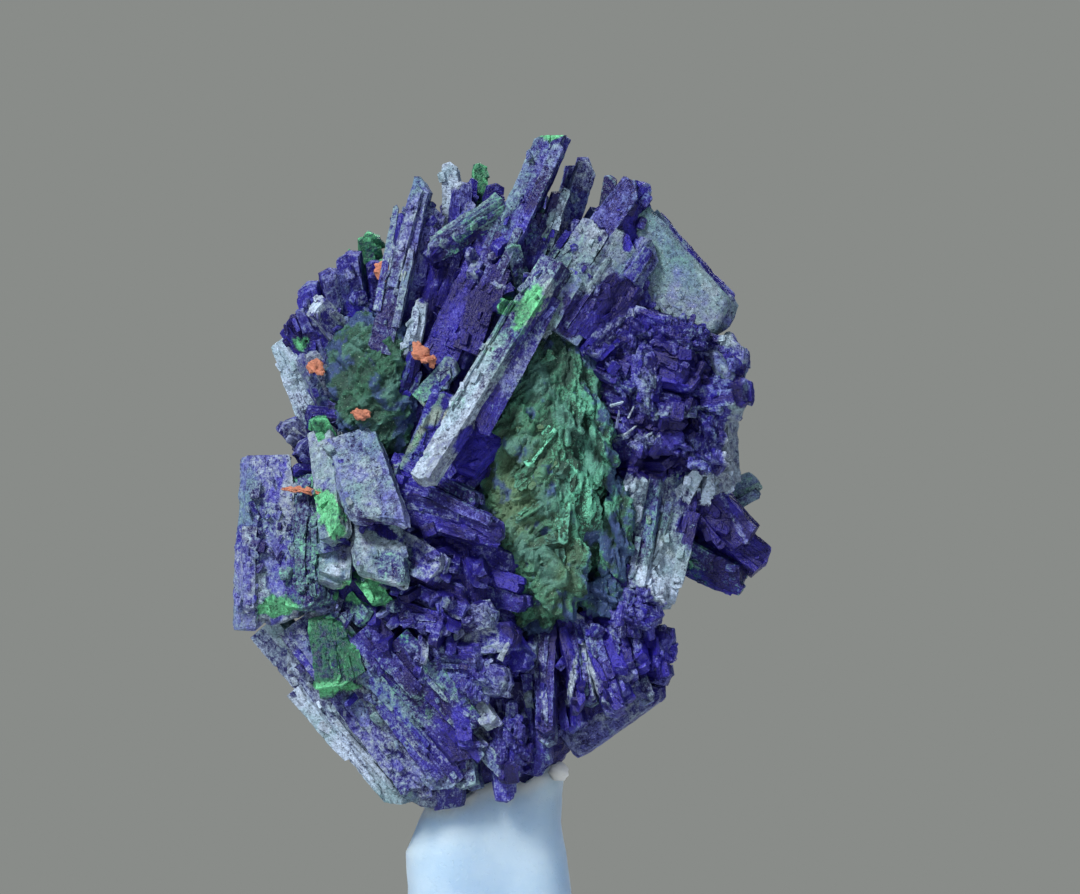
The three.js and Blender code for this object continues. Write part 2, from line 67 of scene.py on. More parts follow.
def latticeOf(seed):
    if seed not in latticeStore:
        slopes = np.random.default_rng(seed).normal(size=(latticeSize ** 3, 3)).astype(np.float32)
        latticeStore[seed] = slopes / np.linalg.norm(slopes, axis=1)[:, None]
    return latticeStore[seed]


def smoothNoise(points, scale, seed):
    lattice = latticeOf(seed)
    q = (points * scale).astype(np.float32)
    cell = np.floor(q).astype(np.int32)
    f = q - cell
    fade = f * f * (3 - 2 * f)
    total = np.zeros(len(points), np.float32)
    for dx in (0, 1):
        for dy in (0, 1):
            for dz in (0, 1):
                shift = np.array((dx, dy, dz))
                weight = np.prod(np.where(shift, fade, 1 - fade), axis=1)
                x, y, z = ((cell + shift) % latticeSize).T
                slope = lattice[(x * latticeSize + y) * latticeSize + z]
                total += weight * ((f - shift) * slope).sum(axis=1)
    return np.clip(0.5 + 0.85 * total, 0, 1)


def layeredNoise(points, scale, octaves, seed):
    # each octave is twice as fine and half as strong as the one before; the sum lies between 0 and 1
    total, weight = 0.0, 0.0
    for k in range(octaves):
        total = total + smoothNoise(points, scale * 2 ** k, seed + k) * 0.5 ** k
        weight += 0.5 ** k
    return total / weight


def sharpCrest(points, scale, seed):
    # noise folded at its middle, so that its middle values become sharp crests
    return 1 - np.abs(2 * layeredNoise(points, scale, 2, seed) - 1)


def smoothStep(low, high, x):
    t = np.clip((x - low) / (high - low), 0, 1)
    return t * t * (3 - 2 * t)


def unit(v):
    return v / np.linalg.norm(v)


def chance(n):
    # a repeatable number from 0 to 1 for each whole number
    s = math.sin(n * 12.9898 + 4.1414) * 43758.5453
    return s - math.floor(s)


# how dusty, how green, how vivid and how pale each finish of a crystal is
finishes = {
    "deep": (-0.16, 0.05, 0.22, 0.02),
    # painted shade: near-black navy without dust, laid where the front lies in shadow
    "shadow": (-0.7, 0.0, 0.05, 0.0),
    "darkTeal": (0.12, 0.46, 0.1, 0.05),
    "vivid": (0.16, 0.04, 0.9, 0.1),
    "window": (-0.4, 0.0, 1.0, 0.0),
    "violet": (0.24, 0.06, 0.5, 0.1),
    "rough": (0.06, 0.07, 0.3, 0.1),
    "dusty": (0.56, 0.1, 0.5, 0.26),
    "grey": (0.88, 0.22, 0.2, 0.4),
    "steel": (0.5, 0.26, 0.3, 0.26),
    "lavender": (0.94, 0.0, 0.5, 0.54),
    "softViolet": (0.82, -0.05, 0.5, 0.18),
    "darkLeaf": (0.1, 0.84, 0.1, -0.3),
    "fan": (1.02, 0.3, 0.3, 0.4),
    "pale": (0.9, 0.12, 0.3, 0.8),
    "white": (1.2, 0.08, 0.1, 1.2),
    "teal": (0.5, 0.44, 0.2, 0.36),
    "greenGrey": (0.44, 0.52, 0.1, 0.26),
    "green": (0.2, 0.92, 0.1, 0.1),
    "mint": (0.35, 1.05, 0.0, 0.75),
    # pale mint; on the long blade's left side and on a facet of the fan it is also a painted highlight
    "chip": (0.9, 0.46, 0.0, 0.9),
    "cyan": (1.0, 0.5, 0.9, 0.5),
    "smoothDark": (0.54, 0.0, 0.3, 0.12),
    "ribMint": (1.0, 0.05, 0.0, 0.3),
    "ribGreen": (0.45, 0.25, 0.1, 0.6),
    "ribOlive": (0.25, 0.9, 0.0, 0.1),
    "ribDark": (0.1, 0.1, 0.9, 0.6),
}
finishes = {word: np.array(tone) for word, tone in finishes.items()}

# sections of a blade, as shares of its half width and half thickness
broadSection = [(-1, 0), (-0.84, 1), (0.84, 0.72), (1, 0), (0.84, -1), (-0.84, -0.72)]
slimSection = [(-1, -0.8), (-0.88, 1), (1, 0.8), (0.88, -1)]
slimWidth = 4.3  # narrower blades have the slim section

# how a blade's surface is broken up: lengths in millimetres
bladeLook = {
    "terraceArea": 7.0,  # square millimetres of a broad face to each terrace
    "terraceDepth": 0.3,
    "stretch": 0.3,  # a terrace is drawn out along the blade
    "grooveDepth": 0.16,
    "grooveWidth": 0.16,
    "sheetThickness": 1.2,  # the sheets that a blade's sides are split into
    "toothLength": 1.1,
    "edgeSway": 0.22,
    "bow": 0.012,  # a share of the length
    # how wide the painted highlight along a blade's edges and tip is
    "edgeHighlightWidth": 0.2,
    "swell": 0.22,
    "streak": 0.12,
    "grain": 0.2,
    "pit": 0.3,
    "bladeVariety": (0.14, 0.05, 0.22, 0.12),  # how far a blade's finish may stray from its row's
    "variety": (0.24, 0.1, 0.34, 0.2),  # how far a terrace's finish may stray from its blade's
}


def joined(grids, keys=("place", "normal", "uv")):
    return {key: np.concatenate([g[key] for g in grids]) for key in keys}


def bladeFrame(row):
    # a blade's root, its length, and its directions: along it, out of its broad face, and across it
    root, tip = np.array(row[:6], float).reshape(2, 3)
    along = unit(tip - root)
    front = np.array([0.0, 0.0, 1.0]) if abs(along[1]) > 0.95 else np.array([0.0, -1.0, 0.0])
    face = unit(front - along * (front @ along))
    roll = math.radians(row[8])
    face = face * math.cos(roll) + np.cross(along, face) * math.sin(roll)
    return root, np.linalg.norm(tip - root), along, face, np.cross(along, face)


def toneOf(finish, v, rng):
    # one finish, or two that change over from the root to the tip, shaken a little for each blade
    words = finish.split(">")
    share = smoothStep(0.3, 0.75, v)[..., None]
    tone = finishes[words[0]] * (1 - share) + finishes[words[-1]] * share
    return tone + np.array(bladeLook["bladeVariety"]) * rng.uniform(-1, 1, 4)


def bladeOutline(width, thick, slim, spacing):
    # the section's outline at even steps, its outward directions, and each point's way round it
    corners = np.array(slimSection if slim else broadSection) * (width / 2, thick / 2)
    sides = np.roll(corners, -1, axis=0) - corners
    lengths = np.linalg.norm(sides, axis=1)
    counts = np.maximum(2, np.round(lengths / spacing)).astype(int)
    steps = [np.arange(n) / n for n in counts]
    outline = np.concatenate([corners[i] + sides[i] * steps[i][:, None] for i in range(len(corners))])
    toCorner = np.concatenate([np.minimum(q, 1 - q) * lengths[i] for i, q in enumerate(steps)])
    turn = np.roll(outline, -1, axis=0) - np.roll(outline, 1, axis=0)
    outward = np.stack([-turn[:, 1], turn[:, 0]], axis=1)
    outward /= np.linalg.norm(outward, axis=1)[:, None]
    around = np.concatenate([[0], np.cumsum(np.linalg.norm(np.diff(outline, axis=0), axis=1))])
    return outline, outward, around, toCorner


def terraces(s, l, under, width, length, rng):
    # the nearest of a few random seeds on each broad face, in a plane squeezed along the blade:
    # gives the seed's number at each point and how far the point is from the border to the next seed
    count = 2 + int(2 * width * length / bladeLook["terraceArea"] * rng.uniform(0.6, 1.4))
    squeeze = bladeLook["stretch"]
    seeds = rng.uniform((-width / 2, 0), (width / 2, length * squeeze), (count, 2))
    seeds[:, 0] += (np.arange(count) % 2) * 3 * width
    flat = np.stack([s.ravel(), l.ravel() * 0.8, np.full(s.size, rng.uniform(0, 30))], axis=1)
    warp = layeredNoise(flat, 0.9, 2, 3).reshape(s.shape) - 0.5
    warpAlong = layeredNoise(flat + 11.3, 0.9, 2, 3).reshape(s.shape) - 0.5
    a = s + under * 3 * width + warp * 0.9
    b = l * squeeze + warpAlong * 0.7
    away = np.sqrt((a[..., None] - seeds[:, 0]) ** 2 + (b[..., None] - seeds[:, 1]) ** 2)
    nearest = away.argmin(axis=-1)
    two = np.partition(away, 1, axis=-1)
    return nearest, two[..., 1] - two[..., 0], count


def bladeGrid(row, spacing, rugged, rng, slim=None):
    # a profile carried along a path: the section's outline, tapered from root to tip, its broad
    # faces lowered by terraces with grooves between them, its edges swaying, and both ends closed
    # by small rings
    root, length, along, face, across = bladeFrame(row)
    width, thick, _, taper, shortLeft, shortRight, finish = row[6:]
    slim = width < slimWidth if slim is None else slim
    outline, outward, around, toCorner = bladeOutline(width, thick, slim, spacing)

    bodyRings = max(4, int(round(length / (spacing * 1.2))))
    v = np.concatenate([[0], np.linspace(0, 1, bodyRings), [1, 1, 1]])
    shrink = np.concatenate([[0.06], np.ones(bodyRings), [0.88, 0.5, 0.06]])
    # a broad blade ends in a chisel, a slim one thins evenly
    chisel = 0 if slim else min(0.35 * thick, 0.2 * length)
    bevel = np.clip(1 - (1 - v) * length / max(chisel, 0.01), 0, 1) if chisel else 0.3 * v
    s = outline[None, :, 0] * (shrink * (1 + (taper - 1) * v) * (1 - 0.1 * bevel))[:, None]
    t = outline[None, :, 1] * (shrink * (1 - 0.5 * bevel))[:, None]
    v = np.repeat(v[:, None], s.shape[1], axis=1)
    sShare = s / (width / 2)
    tShare = t / (thick / 2)
    short = shortLeft * np.maximum(-sShare, 0) + shortRight * np.maximum(sShare, 0)
    l = v * (length - short)

    nearest, border, count = terraces(s, l, (tShare < 0).astype(int), width, length, rng)
    level = bladeLook["terraceDepth"] * rng.random(count) ** 2.2
    groove = bladeLook["grooveDepth"] * rng.random(count) ** 1.5
    cut = level[nearest] + groove[nearest] * np.exp(-((border / bladeLook["grooveWidth"]) ** 2))
    cut = cut * rugged * min(1.0, thick / 2)
    # each terrace ends at its own length, so the tip is toothed
    tooth = bladeLook["toothLength"] * rugged * min(1.0, length / 8)
    l = l - rng.uniform(-0.5, 0.5, count)[nearest] * tooth * v ** 8

    # the narrow sides are split into sheets that stand out unevenly
    sheets = 1 + int(thick / bladeLook["sheetThickness"])
    sheetEdges = np.sort(rng.uniform(-0.8, 0.8, sheets))
    sheet = np.searchsorted(sheetEdges, tShare)
    sheetGap = np.abs(tShare[..., None] - sheetEdges).min(axis=-1) * thick / 2
    sideCut = 1.2 * bladeLook["grooveDepth"] * np.exp(-((sheetGap / bladeLook["grooveWidth"]) ** 2))
    sideCut = sideCut + rng.uniform(0, 0.25, sheets + 1)[sheet] - 0.2
    # the two edges sway apart from each other, because their noise is read at two places
    edgeLine = np.stack([l * 0.9, np.sign(s) * 3 + 0.4 * tShare, 0 * l + rng.uniform(0, 30)], axis=-1)
    sway = layeredNoise(edgeLine.reshape(-1, 3), 0.7, 3, 7).reshape(s.shape) - 0.5
    sway = sway * 2 * bladeLook["edgeSway"]
    onEdge = np.clip(np.abs(sShare) * 1.3 - 0.3, 0, 1)
    s = s - np.sign(s) * np.minimum(np.abs(s), (sideCut + sway) * rugged * onEdge)
    t = t - np.sign(t) * np.minimum(np.abs(t), cut * np.clip(np.abs(tShare) * 1.4, 0, 1))

    bend = bladeLook["bow"] * length * rng.uniform(-1, 1) * 4 * v * (1 - v)
    spot = root + s[..., None] * across + (t + bend)[..., None] * face + l[..., None] * along
    normal = np.repeat(outward[None, :, 0:1] * across + outward[None, :, 1:2] * face, len(v), axis=0)
    normal[-3:] = along
    normal[0] = -along
    # painted highlight: the relief rises along the section's corners and at the tip, which makes the edges
    # paler; the terraces' cuts lower it, painted shade in the grooves
    edgeHighlight = np.exp(-((toCorner[None, :] / bladeLook["edgeHighlightWidth"]) ** 2))
    edgeHighlight = edgeHighlight + np.exp(-(((1 - v) * length / (1.25 * bladeLook["edgeHighlightWidth"])) ** 2))
    offset = rng.uniform(0, 60, 2)
    uv = np.stack([around[None, :] + offset[0] + 0 * l, l + offset[1]], axis=-1)
    local = np.stack([s * 3.4, t * 3.4, l * 0.42], axis=-1) + rng.uniform(0, 30, 3)
    n = s.size
    stray = (np.array(bladeLook["variety"]) * rng.uniform(-1, 1, (count, 4)))[nearest]
    return {
        "place": spot.reshape(n, 3), "normal": normal.reshape(n, 3), "uv": uv.reshape(n, 2),
        "local": local.reshape(n, 3),
        "relief": (0.9 * np.minimum(edgeHighlight, 1) - cut / bladeLook["terraceDepth"]).reshape(n),
        "rings": s.shape, "tone": (toneOf(finish, v, rng) + stray).reshape(n, 4),
        "amount": np.full(n, rugged * min(1.0, thick / 1.6)),
    }


# the blades beside a blade: ranges as shares of its length, width and thickness
companions = {
    "spacing": 1.3,  # how much coarser its mesh is than its blade's
    "share": (0.22, 0.6),
    "width": (0.14, 0.4),
    "leastWidth": 0.5,  # millimetres
    "thickness": (0.4, 0.9),
    "sunk": (0.12, 0.38),
    "taper": (0.75, 1.0),
    "frontShare": 0.8,  # of the companions lie on the face that looks out
    "leanAcross": 0.09,
    "leanOut": 0.04,
    "rollSpread": 12,
}


def companionRows(row, count, spread, rng):
    # thinner blades grown beside a blade, nearly parallel to it
    root, length, along, face, across = bladeFrame(row)
    width, thick, roll, *_, finish = row[6:]
    rows = []
    for _ in range(count):
        share = rng.uniform(*companions["share"])
        start = rng.uniform(0.02, 0.96 - share)
        side = 1 if rng.random() < companions["frontShare"] else -1
        lateral = rng.uniform(-0.5, 0.5) * width * (1 - 0.3 * start)
        lean = along + across * rng.normal(0, companions["leanAcross"] * spread)
        lean = lean + face * rng.normal(0, companions["leanOut"] * spread)
        size = max(companions["leastWidth"], width * rng.uniform(*companions["width"]))
        flat = min(thick * 0.5, size * rng.uniform(*companions["thickness"]))
        proud = thick / 2 - flat * rng.uniform(*companions["sunk"])
        begin = root + along * start * length + across * lateral + face * side * proud
        end = begin + unit(lean) * share * length
        turned = roll + rng.normal(0, companions["rollSpread"] * spread)
        rows.append([*begin, *end, size, flat, turned, rng.uniform(*companions["taper"]),
                     rng.uniform(0, 0.5), rng.uniform(0, 0.5), finish])
    return rows


# the broken crystals on a blade; widths are shares of a chip's length, and thicknesses of its width
chipLook = {
    "frontShare": 0.8,
    "sunk": 0.08,
    "tilt": 0.35,
    "width": (0.35, 0.8),
    "thickness": (0.35, 0.75),
    "cornerReach": (0.75, 1.15),
    "rings": [(-0.5, 0.7), (-0.42, 1.0), (0.4, 0.95), (0.5, 0.6)],  # place along the chip, and size
    "amount": 0.35,  # how much of the roughening it takes
}


def chipSpots(row, density, lean, rng):
    # random spots on a blade's faces for small broken crystals, with their directions and finishes
    root, length, along, face, across = bladeFrame(row)
    width, thick, _, taper, shortLeft, shortRight, finish = row[6:]
    n = max(1, int(density * width * length))
    v = rng.uniform(0.03, 0.97, n)
    side = np.where(rng.random(n) < chipLook["frontShare"], 1.0, -1.0)[:, None]
    share = rng.uniform(-1, 1, n) * (1 + (taper - 1) * v)
    up = v * (length - shortLeft * np.maximum(-share, 0) - shortRight * np.maximum(share, 0))
    aside = across * (share * width / 2)[:, None]
    spots = root + along * up[:, None] + aside + face * side * (thick / 2 - chipLook["sunk"])
    return {"spots": spots, "outward": face * side, "along": along + lean * rng.normal(size=(n, 3)),
            "tone": toneOf(finish, v, rng)}


def chipGrid(chips, sizes, rng):
    # small broken crystals, all worked out at once: a skewed four-sided section through four rings,
    # the end rings drawn in; sizes are the shortest and longest chip in millimetres
    chips = joined(chips, ("spots", "outward", "along", "tone"))
    n = len(chips["spots"])
    outward = chips["outward"] + chipLook["tilt"] * rng.normal(size=(n, 3))
    along = chips["along"] / np.linalg.norm(chips["along"], axis=1)[:, None]
    face = outward - along * (outward * along).sum(axis=1)[:, None]
    face /= np.linalg.norm(face, axis=1)[:, None]
    across = np.cross(along, face)
    length = rng.uniform(0, 1, n) ** 1.8 * (sizes[1] - sizes[0]) + sizes[0]
    wide = length * rng.uniform(*chipLook["width"], n)
    thick = wide * rng.uniform(*chipLook["thickness"], n)
    corner = np.array(slimSection)
    reach = rng.uniform(*chipLook["cornerReach"], (n, 1, 4))
    level, shrink = np.array(chipLook["rings"]).T[:, None, :, None]
    s = corner[:, 0] * reach * shrink * wide[:, None, None] / 2
    t = corner[:, 1] * reach * shrink * thick[:, None, None] / 2
    l = level * length[:, None, None] + 0 * s
    middle, across, face, along = (a[:, None, None, :] for a in (chips["spots"], across, face, along))
    spot = middle + s[..., None] * across + t[..., None] * face + l[..., None] * along
    normal = 0.7 * (corner[:, 0:1] * across + corner[:, 1:2] * face) + 0 * spot
    offset = rng.uniform(0, 60, (n, 1, 1))
    uv = np.stack([np.arange(4) * wide[:, None, None] / 2 + offset + 0 * l, l + offset], axis=-1)
    relief = rng.uniform(-0.5, 0.9, (n, 1, 1)) + 0 * s
    stray = np.array(bladeLook["variety"]) * rng.uniform(-1, 1, (n, 4))
    tone = np.repeat((chips["tone"] + stray)[:, None, :], 16, axis=1)
    return {
        "place": spot.reshape(-1, 3), "normal": normal.reshape(-1, 3), "uv": uv.reshape(-1, 2),
        "local": (spot * 2 + offset[..., None]).reshape(-1, 3), "relief": relief.reshape(-1),
        "tone": tone.reshape(-1, 4), "amount": np.full(16 * n, chipLook["amount"]), "rings": [(4, 4)] * n,
    }


# local colours on the front: place across and up in millimetres, half sizes, turn in degrees, finish; the
# "shadow" stains and two "deep" ones are painted shade, and a few pale ones are painted highlights
stainsAndPaintedLight = [
    (6.3, 91.6, 1.3, 0.6, 0, "mint"), (5.6, 84.3, 0.8, 6.6, -24, "darkTeal"),
    # (-2, 66.6) "chip": the long blade's left side, mint with a painted highlight where it faces the key
    # light
    (3.7, 74.1, 0.9, 2.1, -30, "mint"), (1.7, 74.3, 1.3, 1, 0, "green"), (-2, 66.6, 0.8, 6, -31, "chip"),
    (-1.8, 60.3, 1.5, 1.6, 0, "window"), (-2.8, 56, 0.9, 1.2, 0, "window"),
    (-5.4, 63.3, 0.5, 1.1, -20, "cyan"), (-16, 53.7, 1.2, 2.7, 28, "mint"),
    (-12.8, 45.9, 2.3, 1.2, 0, "mint"), (-21.2, 44.4, 1.9, 1.1, 0, "mint"),
    (-18.2, 50, 1.2, 6, 0, "greenGrey"), (-15.5, 48.1, 0.9, 0.6, 0, "pale"),
    (-13.8, 43.7, 1.8, 0.8, 0, "greenGrey"), (-15.8, 40.8, 1.6, 2.4, 0, "darkLeaf"),
    (-7, 61.6, 0.4, 4.6, -31, "cyan"), (-9.4, 48.6, 2.2, 1.6, 0, "teal"), (-15, 36.5, 2.6, 0.5, 0, "mint"),
    # (-17.2, 74.2) "white": a painted highlight on glossy tips
    (-17.2, 74.2, 0.8, 0.4, 0, "white"), (-19, 70.7, 0.9, 0.9, 0, "mint"), (-15, 65.3, 0.6, 0.5, 0, "mint"),
    (6.3, 79.5, 1, 0.8, 0, "teal"), (14, 81.3, 0.7, 1.5, 0, "window"), (-3.8, 87.4, 1, 1.3, 0, "pale"),
    # (-5.5, 77) "deep": painted shade in a dark hollow at the upper left
    (-5.5, 77, 1.5, 3, 0, "deep"), (23.5, 71.3, 0.9, 0.8, 0, "pale"), (17.2, 47.8, 2, 2.6, 0, "pale"),
    (14.6, 56.7, 1.5, 1, 0, "pale"), (21.5, 56.5, 1.3, 1.1, 0, "white"), (23.4, 57, 0.8, 1, 0, "lavender"),
    (24.6, 54.4, 0.9, 1.3, 0, "window"), (26.2, 55.4, 0.9, 1.2, 0, "darkTeal"),
    (25, 46.4, 0.6, 0.8, 0, "mint"), (15.8, 39, 0.9, 2, 0, "window"), (0.1, 29.2, 0.6, 2, 40, "dusty"),
    (2.8, 39.5, 1, 2.4, 0, "vivid"), (-2.8, 32.9, 0.8, 2, 0, "vivid"), (-7.6, 83, 0.8, 4, -18, "dusty"),
    # (9.6, 73.2) "deep" and every "shadow" stain: painted shade in the hollow under the fan, the caves and
    # gaps of the rough mass, the gaps between the plates and the sides turned from the key light
    (9.6, 73.2, 3, 2.2, 0, "deep"), (13, 75, 2.2, 2.2, 0, "shadow"), (20.3, 64.9, 3.8, 0.45, 4, "shadow"),
    (17.9, 62.4, 2.2, 0.8, 0, "shadow"), (15.9, 58.5, 3, 1.4, 0, "shadow"),
    # (15.7, 67), (12.9, 72.9) and (18.4, 64) "dusty" and (24.7, 64) "lavender": painted highlights on lit
    # ridges, a ledge and an overhanging edge; (24.3, 60.3) is a pale plate's own colour
    (20.4, 67.4, 1.3, 1.1, 0, "shadow"), (15.7, 67, 0.8, 2.8, 0, "dusty"),
    (12.9, 72.9, 3.6, 0.4, 33, "dusty"), (18.4, 64, 1.8, 0.6, 0, "dusty"),
    (24.7, 64, 1.3, 0.4, -38, "lavender"), (24.3, 60.3, 1, 3.2, 0, "lavender"),
    (18.8, 69.2, 2.8, 0.4, 0, "shadow"), (24.8, 67, 0.4, 1.7, -25, "shadow"),
    (2.6, 41.8, 2, 0.8, -30, "shadow"), (-4, 46, 3.4, 0.5, -20, "shadow"),
    (-5.4, 43.4, 3, 0.4, -20, "shadow"), (-10.6, 52, 2, 0.5, -30, "shadow"),
    (7.4, 37, 0.4, 3.4, -14, "shadow"), (10, 38, 0.3, 2.6, 14, "lavender"),
    (8.2, 37.2, 0.3, 2.6, -10, "lavender"), (-1.2, 73.6, 1.6, 3.4, -18, "shadow"),
    (-2.5, 55.6, 2.6, 1.3, -15, "darkTeal"), (23.2, 51, 4.4, 2.6, -40, "shadow"),
    # (25.4, 51.2) "dusty": a painted highlight along the right blade's lit edge
    (21.5, 78.5, 0.35, 5, 43, "rough"), (25.4, 51.2, 0.35, 3.8, 27, "dusty"),
    (-1.4, 51.8, 2.6, 1.1, 0, "rough"), (-8, 35, 3.6, 1, -50, "teal"),
]
stainAndLightDepth = -4.5  # stains lie in front of this depth only


def paintStainsAndLight(place, tone):
    # inside a stain's ellipse, with its border shaken by noise, the finish turns to the stain's, whether that
    # is a local colour, painted shade or a painted highlight
    warp = (layeredNoise(place, 0.8, 2, 61) - 0.5) * 1.4
    for x, z, halfX, halfZ, turn, finish in stainsAndPaintedLight:
        c, n = math.cos(math.radians(turn)), math.sin(math.radians(turn))
        dx, dz = place[:, 0] - x, place[:, 2] - z
        away = np.hypot((dx * c + dz * n) / halfX, (dz * c - dx * n) / halfZ)
        share = (smoothStep(1.3, 0.75, away + warp) * (place[:, 1] < stainAndLightDepth))[:, None]
        tone = tone * (1 - share) + finishes[finish] * share
    return tone


def roughened(grids):
    # every grid of a piece joined, then pushed along its normals by noise: broad swelling, streaks
    # along each blade, grain, and pits where the finest noise is highest
    whole = joined(grids, ("place", "normal", "uv", "local", "relief", "tone", "amount"))
    p = whole["place"]
    swell = layeredNoise(p, 0.45, 2, 11) - 0.5
    streak = layeredNoise(whole["local"], 1.0, 2, 23) - 0.5
    grain = layeredNoise(p, 2.3, 2, 37) - 0.5
    pit = np.clip(smoothNoise(p, 1.9, 53) - 0.68, 0, 1) / 0.32
    push = (bladeLook["swell"] * swell + bladeLook["streak"] * streak + bladeLook["grain"] * grain
            - bladeLook["pit"] * pit + 0.05) * whole["amount"]
    whole["place"] = np.clip(p + whole["normal"] * push[:, None], *cadLimits)
    # the relief falls in the pits and grooves and rises on edges; the shader turns that into painted shade
    # and painted highlights
    whole["relief"] = whole["relief"] * 0.7 + streak * 0.7 + grain * 1.1 - pit * 0.8
    whole["tone"] = paintStainsAndLight(p, whole["tone"])
    return whole


def gridFaces(ringCounts):
    # quads between neighbouring rings, and one cap on the first and the last ring of each grid
    corners, totals = [], []
    first = 0
    for rings, points in ringCounts:
        a = np.arange(rings * points).reshape(rings, points) + first
        b = np.roll(a, -1, axis=1)
        quads = np.stack([a[:-1], b[:-1], b[1:], a[1:]], axis=-1).reshape(-1)
        corners += [quads, a[0][::-1], a[-1]]
        totals += [np.full((rings - 1) * points, 4), [points, points]]
        first += rings * points
    return np.concatenate(corners), np.concatenate(totals)


def makeMesh(name, whole, ringCounts, material, sharpAngle=38):
    corners, totals = gridFaces(ringCounts)
    mesh = bpy.data.meshes.new(name)
    mesh.vertices.add(len(whole["place"]))
    mesh.vertices.foreach_set("co", (whole["place"] * mm).astype(np.float32).ravel())
    mesh.loops.add(len(corners))
    mesh.loops.foreach_set("vertex_index", corners.astype(np.int32))
    mesh.polygons.add(len(totals))
    starts = np.concatenate([[0], np.cumsum(totals)[:-1]])
    mesh.polygons.foreach_set("loop_start", starts.astype(np.int32))
    mesh.polygons.foreach_set("use_smooth", np.ones(len(totals), bool))
    mesh.update(calc_edges=True)
    uvLayer = mesh.uv_layers.new(name="streaks")
    uvLayer.data.foreach_set("uv", (whole["uv"][corners] / uvScale).astype(np.float32).ravel())
    tone = mesh.attributes.new("tone", "FLOAT_COLOR", "POINT")
    tone.data.foreach_set("color", whole["tone"].astype(np.float32).ravel())
    relief = mesh.attributes.new("relief", "FLOAT", "POINT")
    relief.data.foreach_set("value", whole["relief"].astype(np.float32))
    mesh.set_sharp_from_angle(angle=math.radians(sharpAngle))
    mesh.materials.append(material)
    piece = bpy.data.objects.new(name, mesh)
    bpy.context.scene.collection.objects.link(piece)
    print("made", name, "with", int(np.maximum(1, totals - 2).sum()), "triangles")
    return piece


def place(piece, slot, *nodes):
    # every piece rides on the one body and stands for its CAD nodes
    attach(piece, "root")
    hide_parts(*nodes)


def crystalPiece(name, rows, look, material, slim=None, slot="azurite", node="azurite_cluster"):
    # the blades of one region with their companions, as one mesh
    rng = np.random.default_rng(look["seed"])
    grids = []
    chips = []
    for row in rows:
        family = [row, *companionRows(row, look["companions"], look["spread"], rng)]
        for one in family:
            own = one is row
            spacing = look["spacing"] * (1 if own else companions["spacing"])
            grids.append(bladeGrid(one, spacing, look["rugged"], rng, slim if own else None))
        if look["chips"]:
            chips += [chipSpots(one, look["chips"], look["lean"], rng) for one in family]
    rings = [g["rings"] for g in grids]
    if chips:
        grids.append(chipGrid(chips, look["chipSizes"], rng))
        rings += grids[-1]["rings"]
    place(makeMesh(name, roughened(grids), rings, material), slot, node)
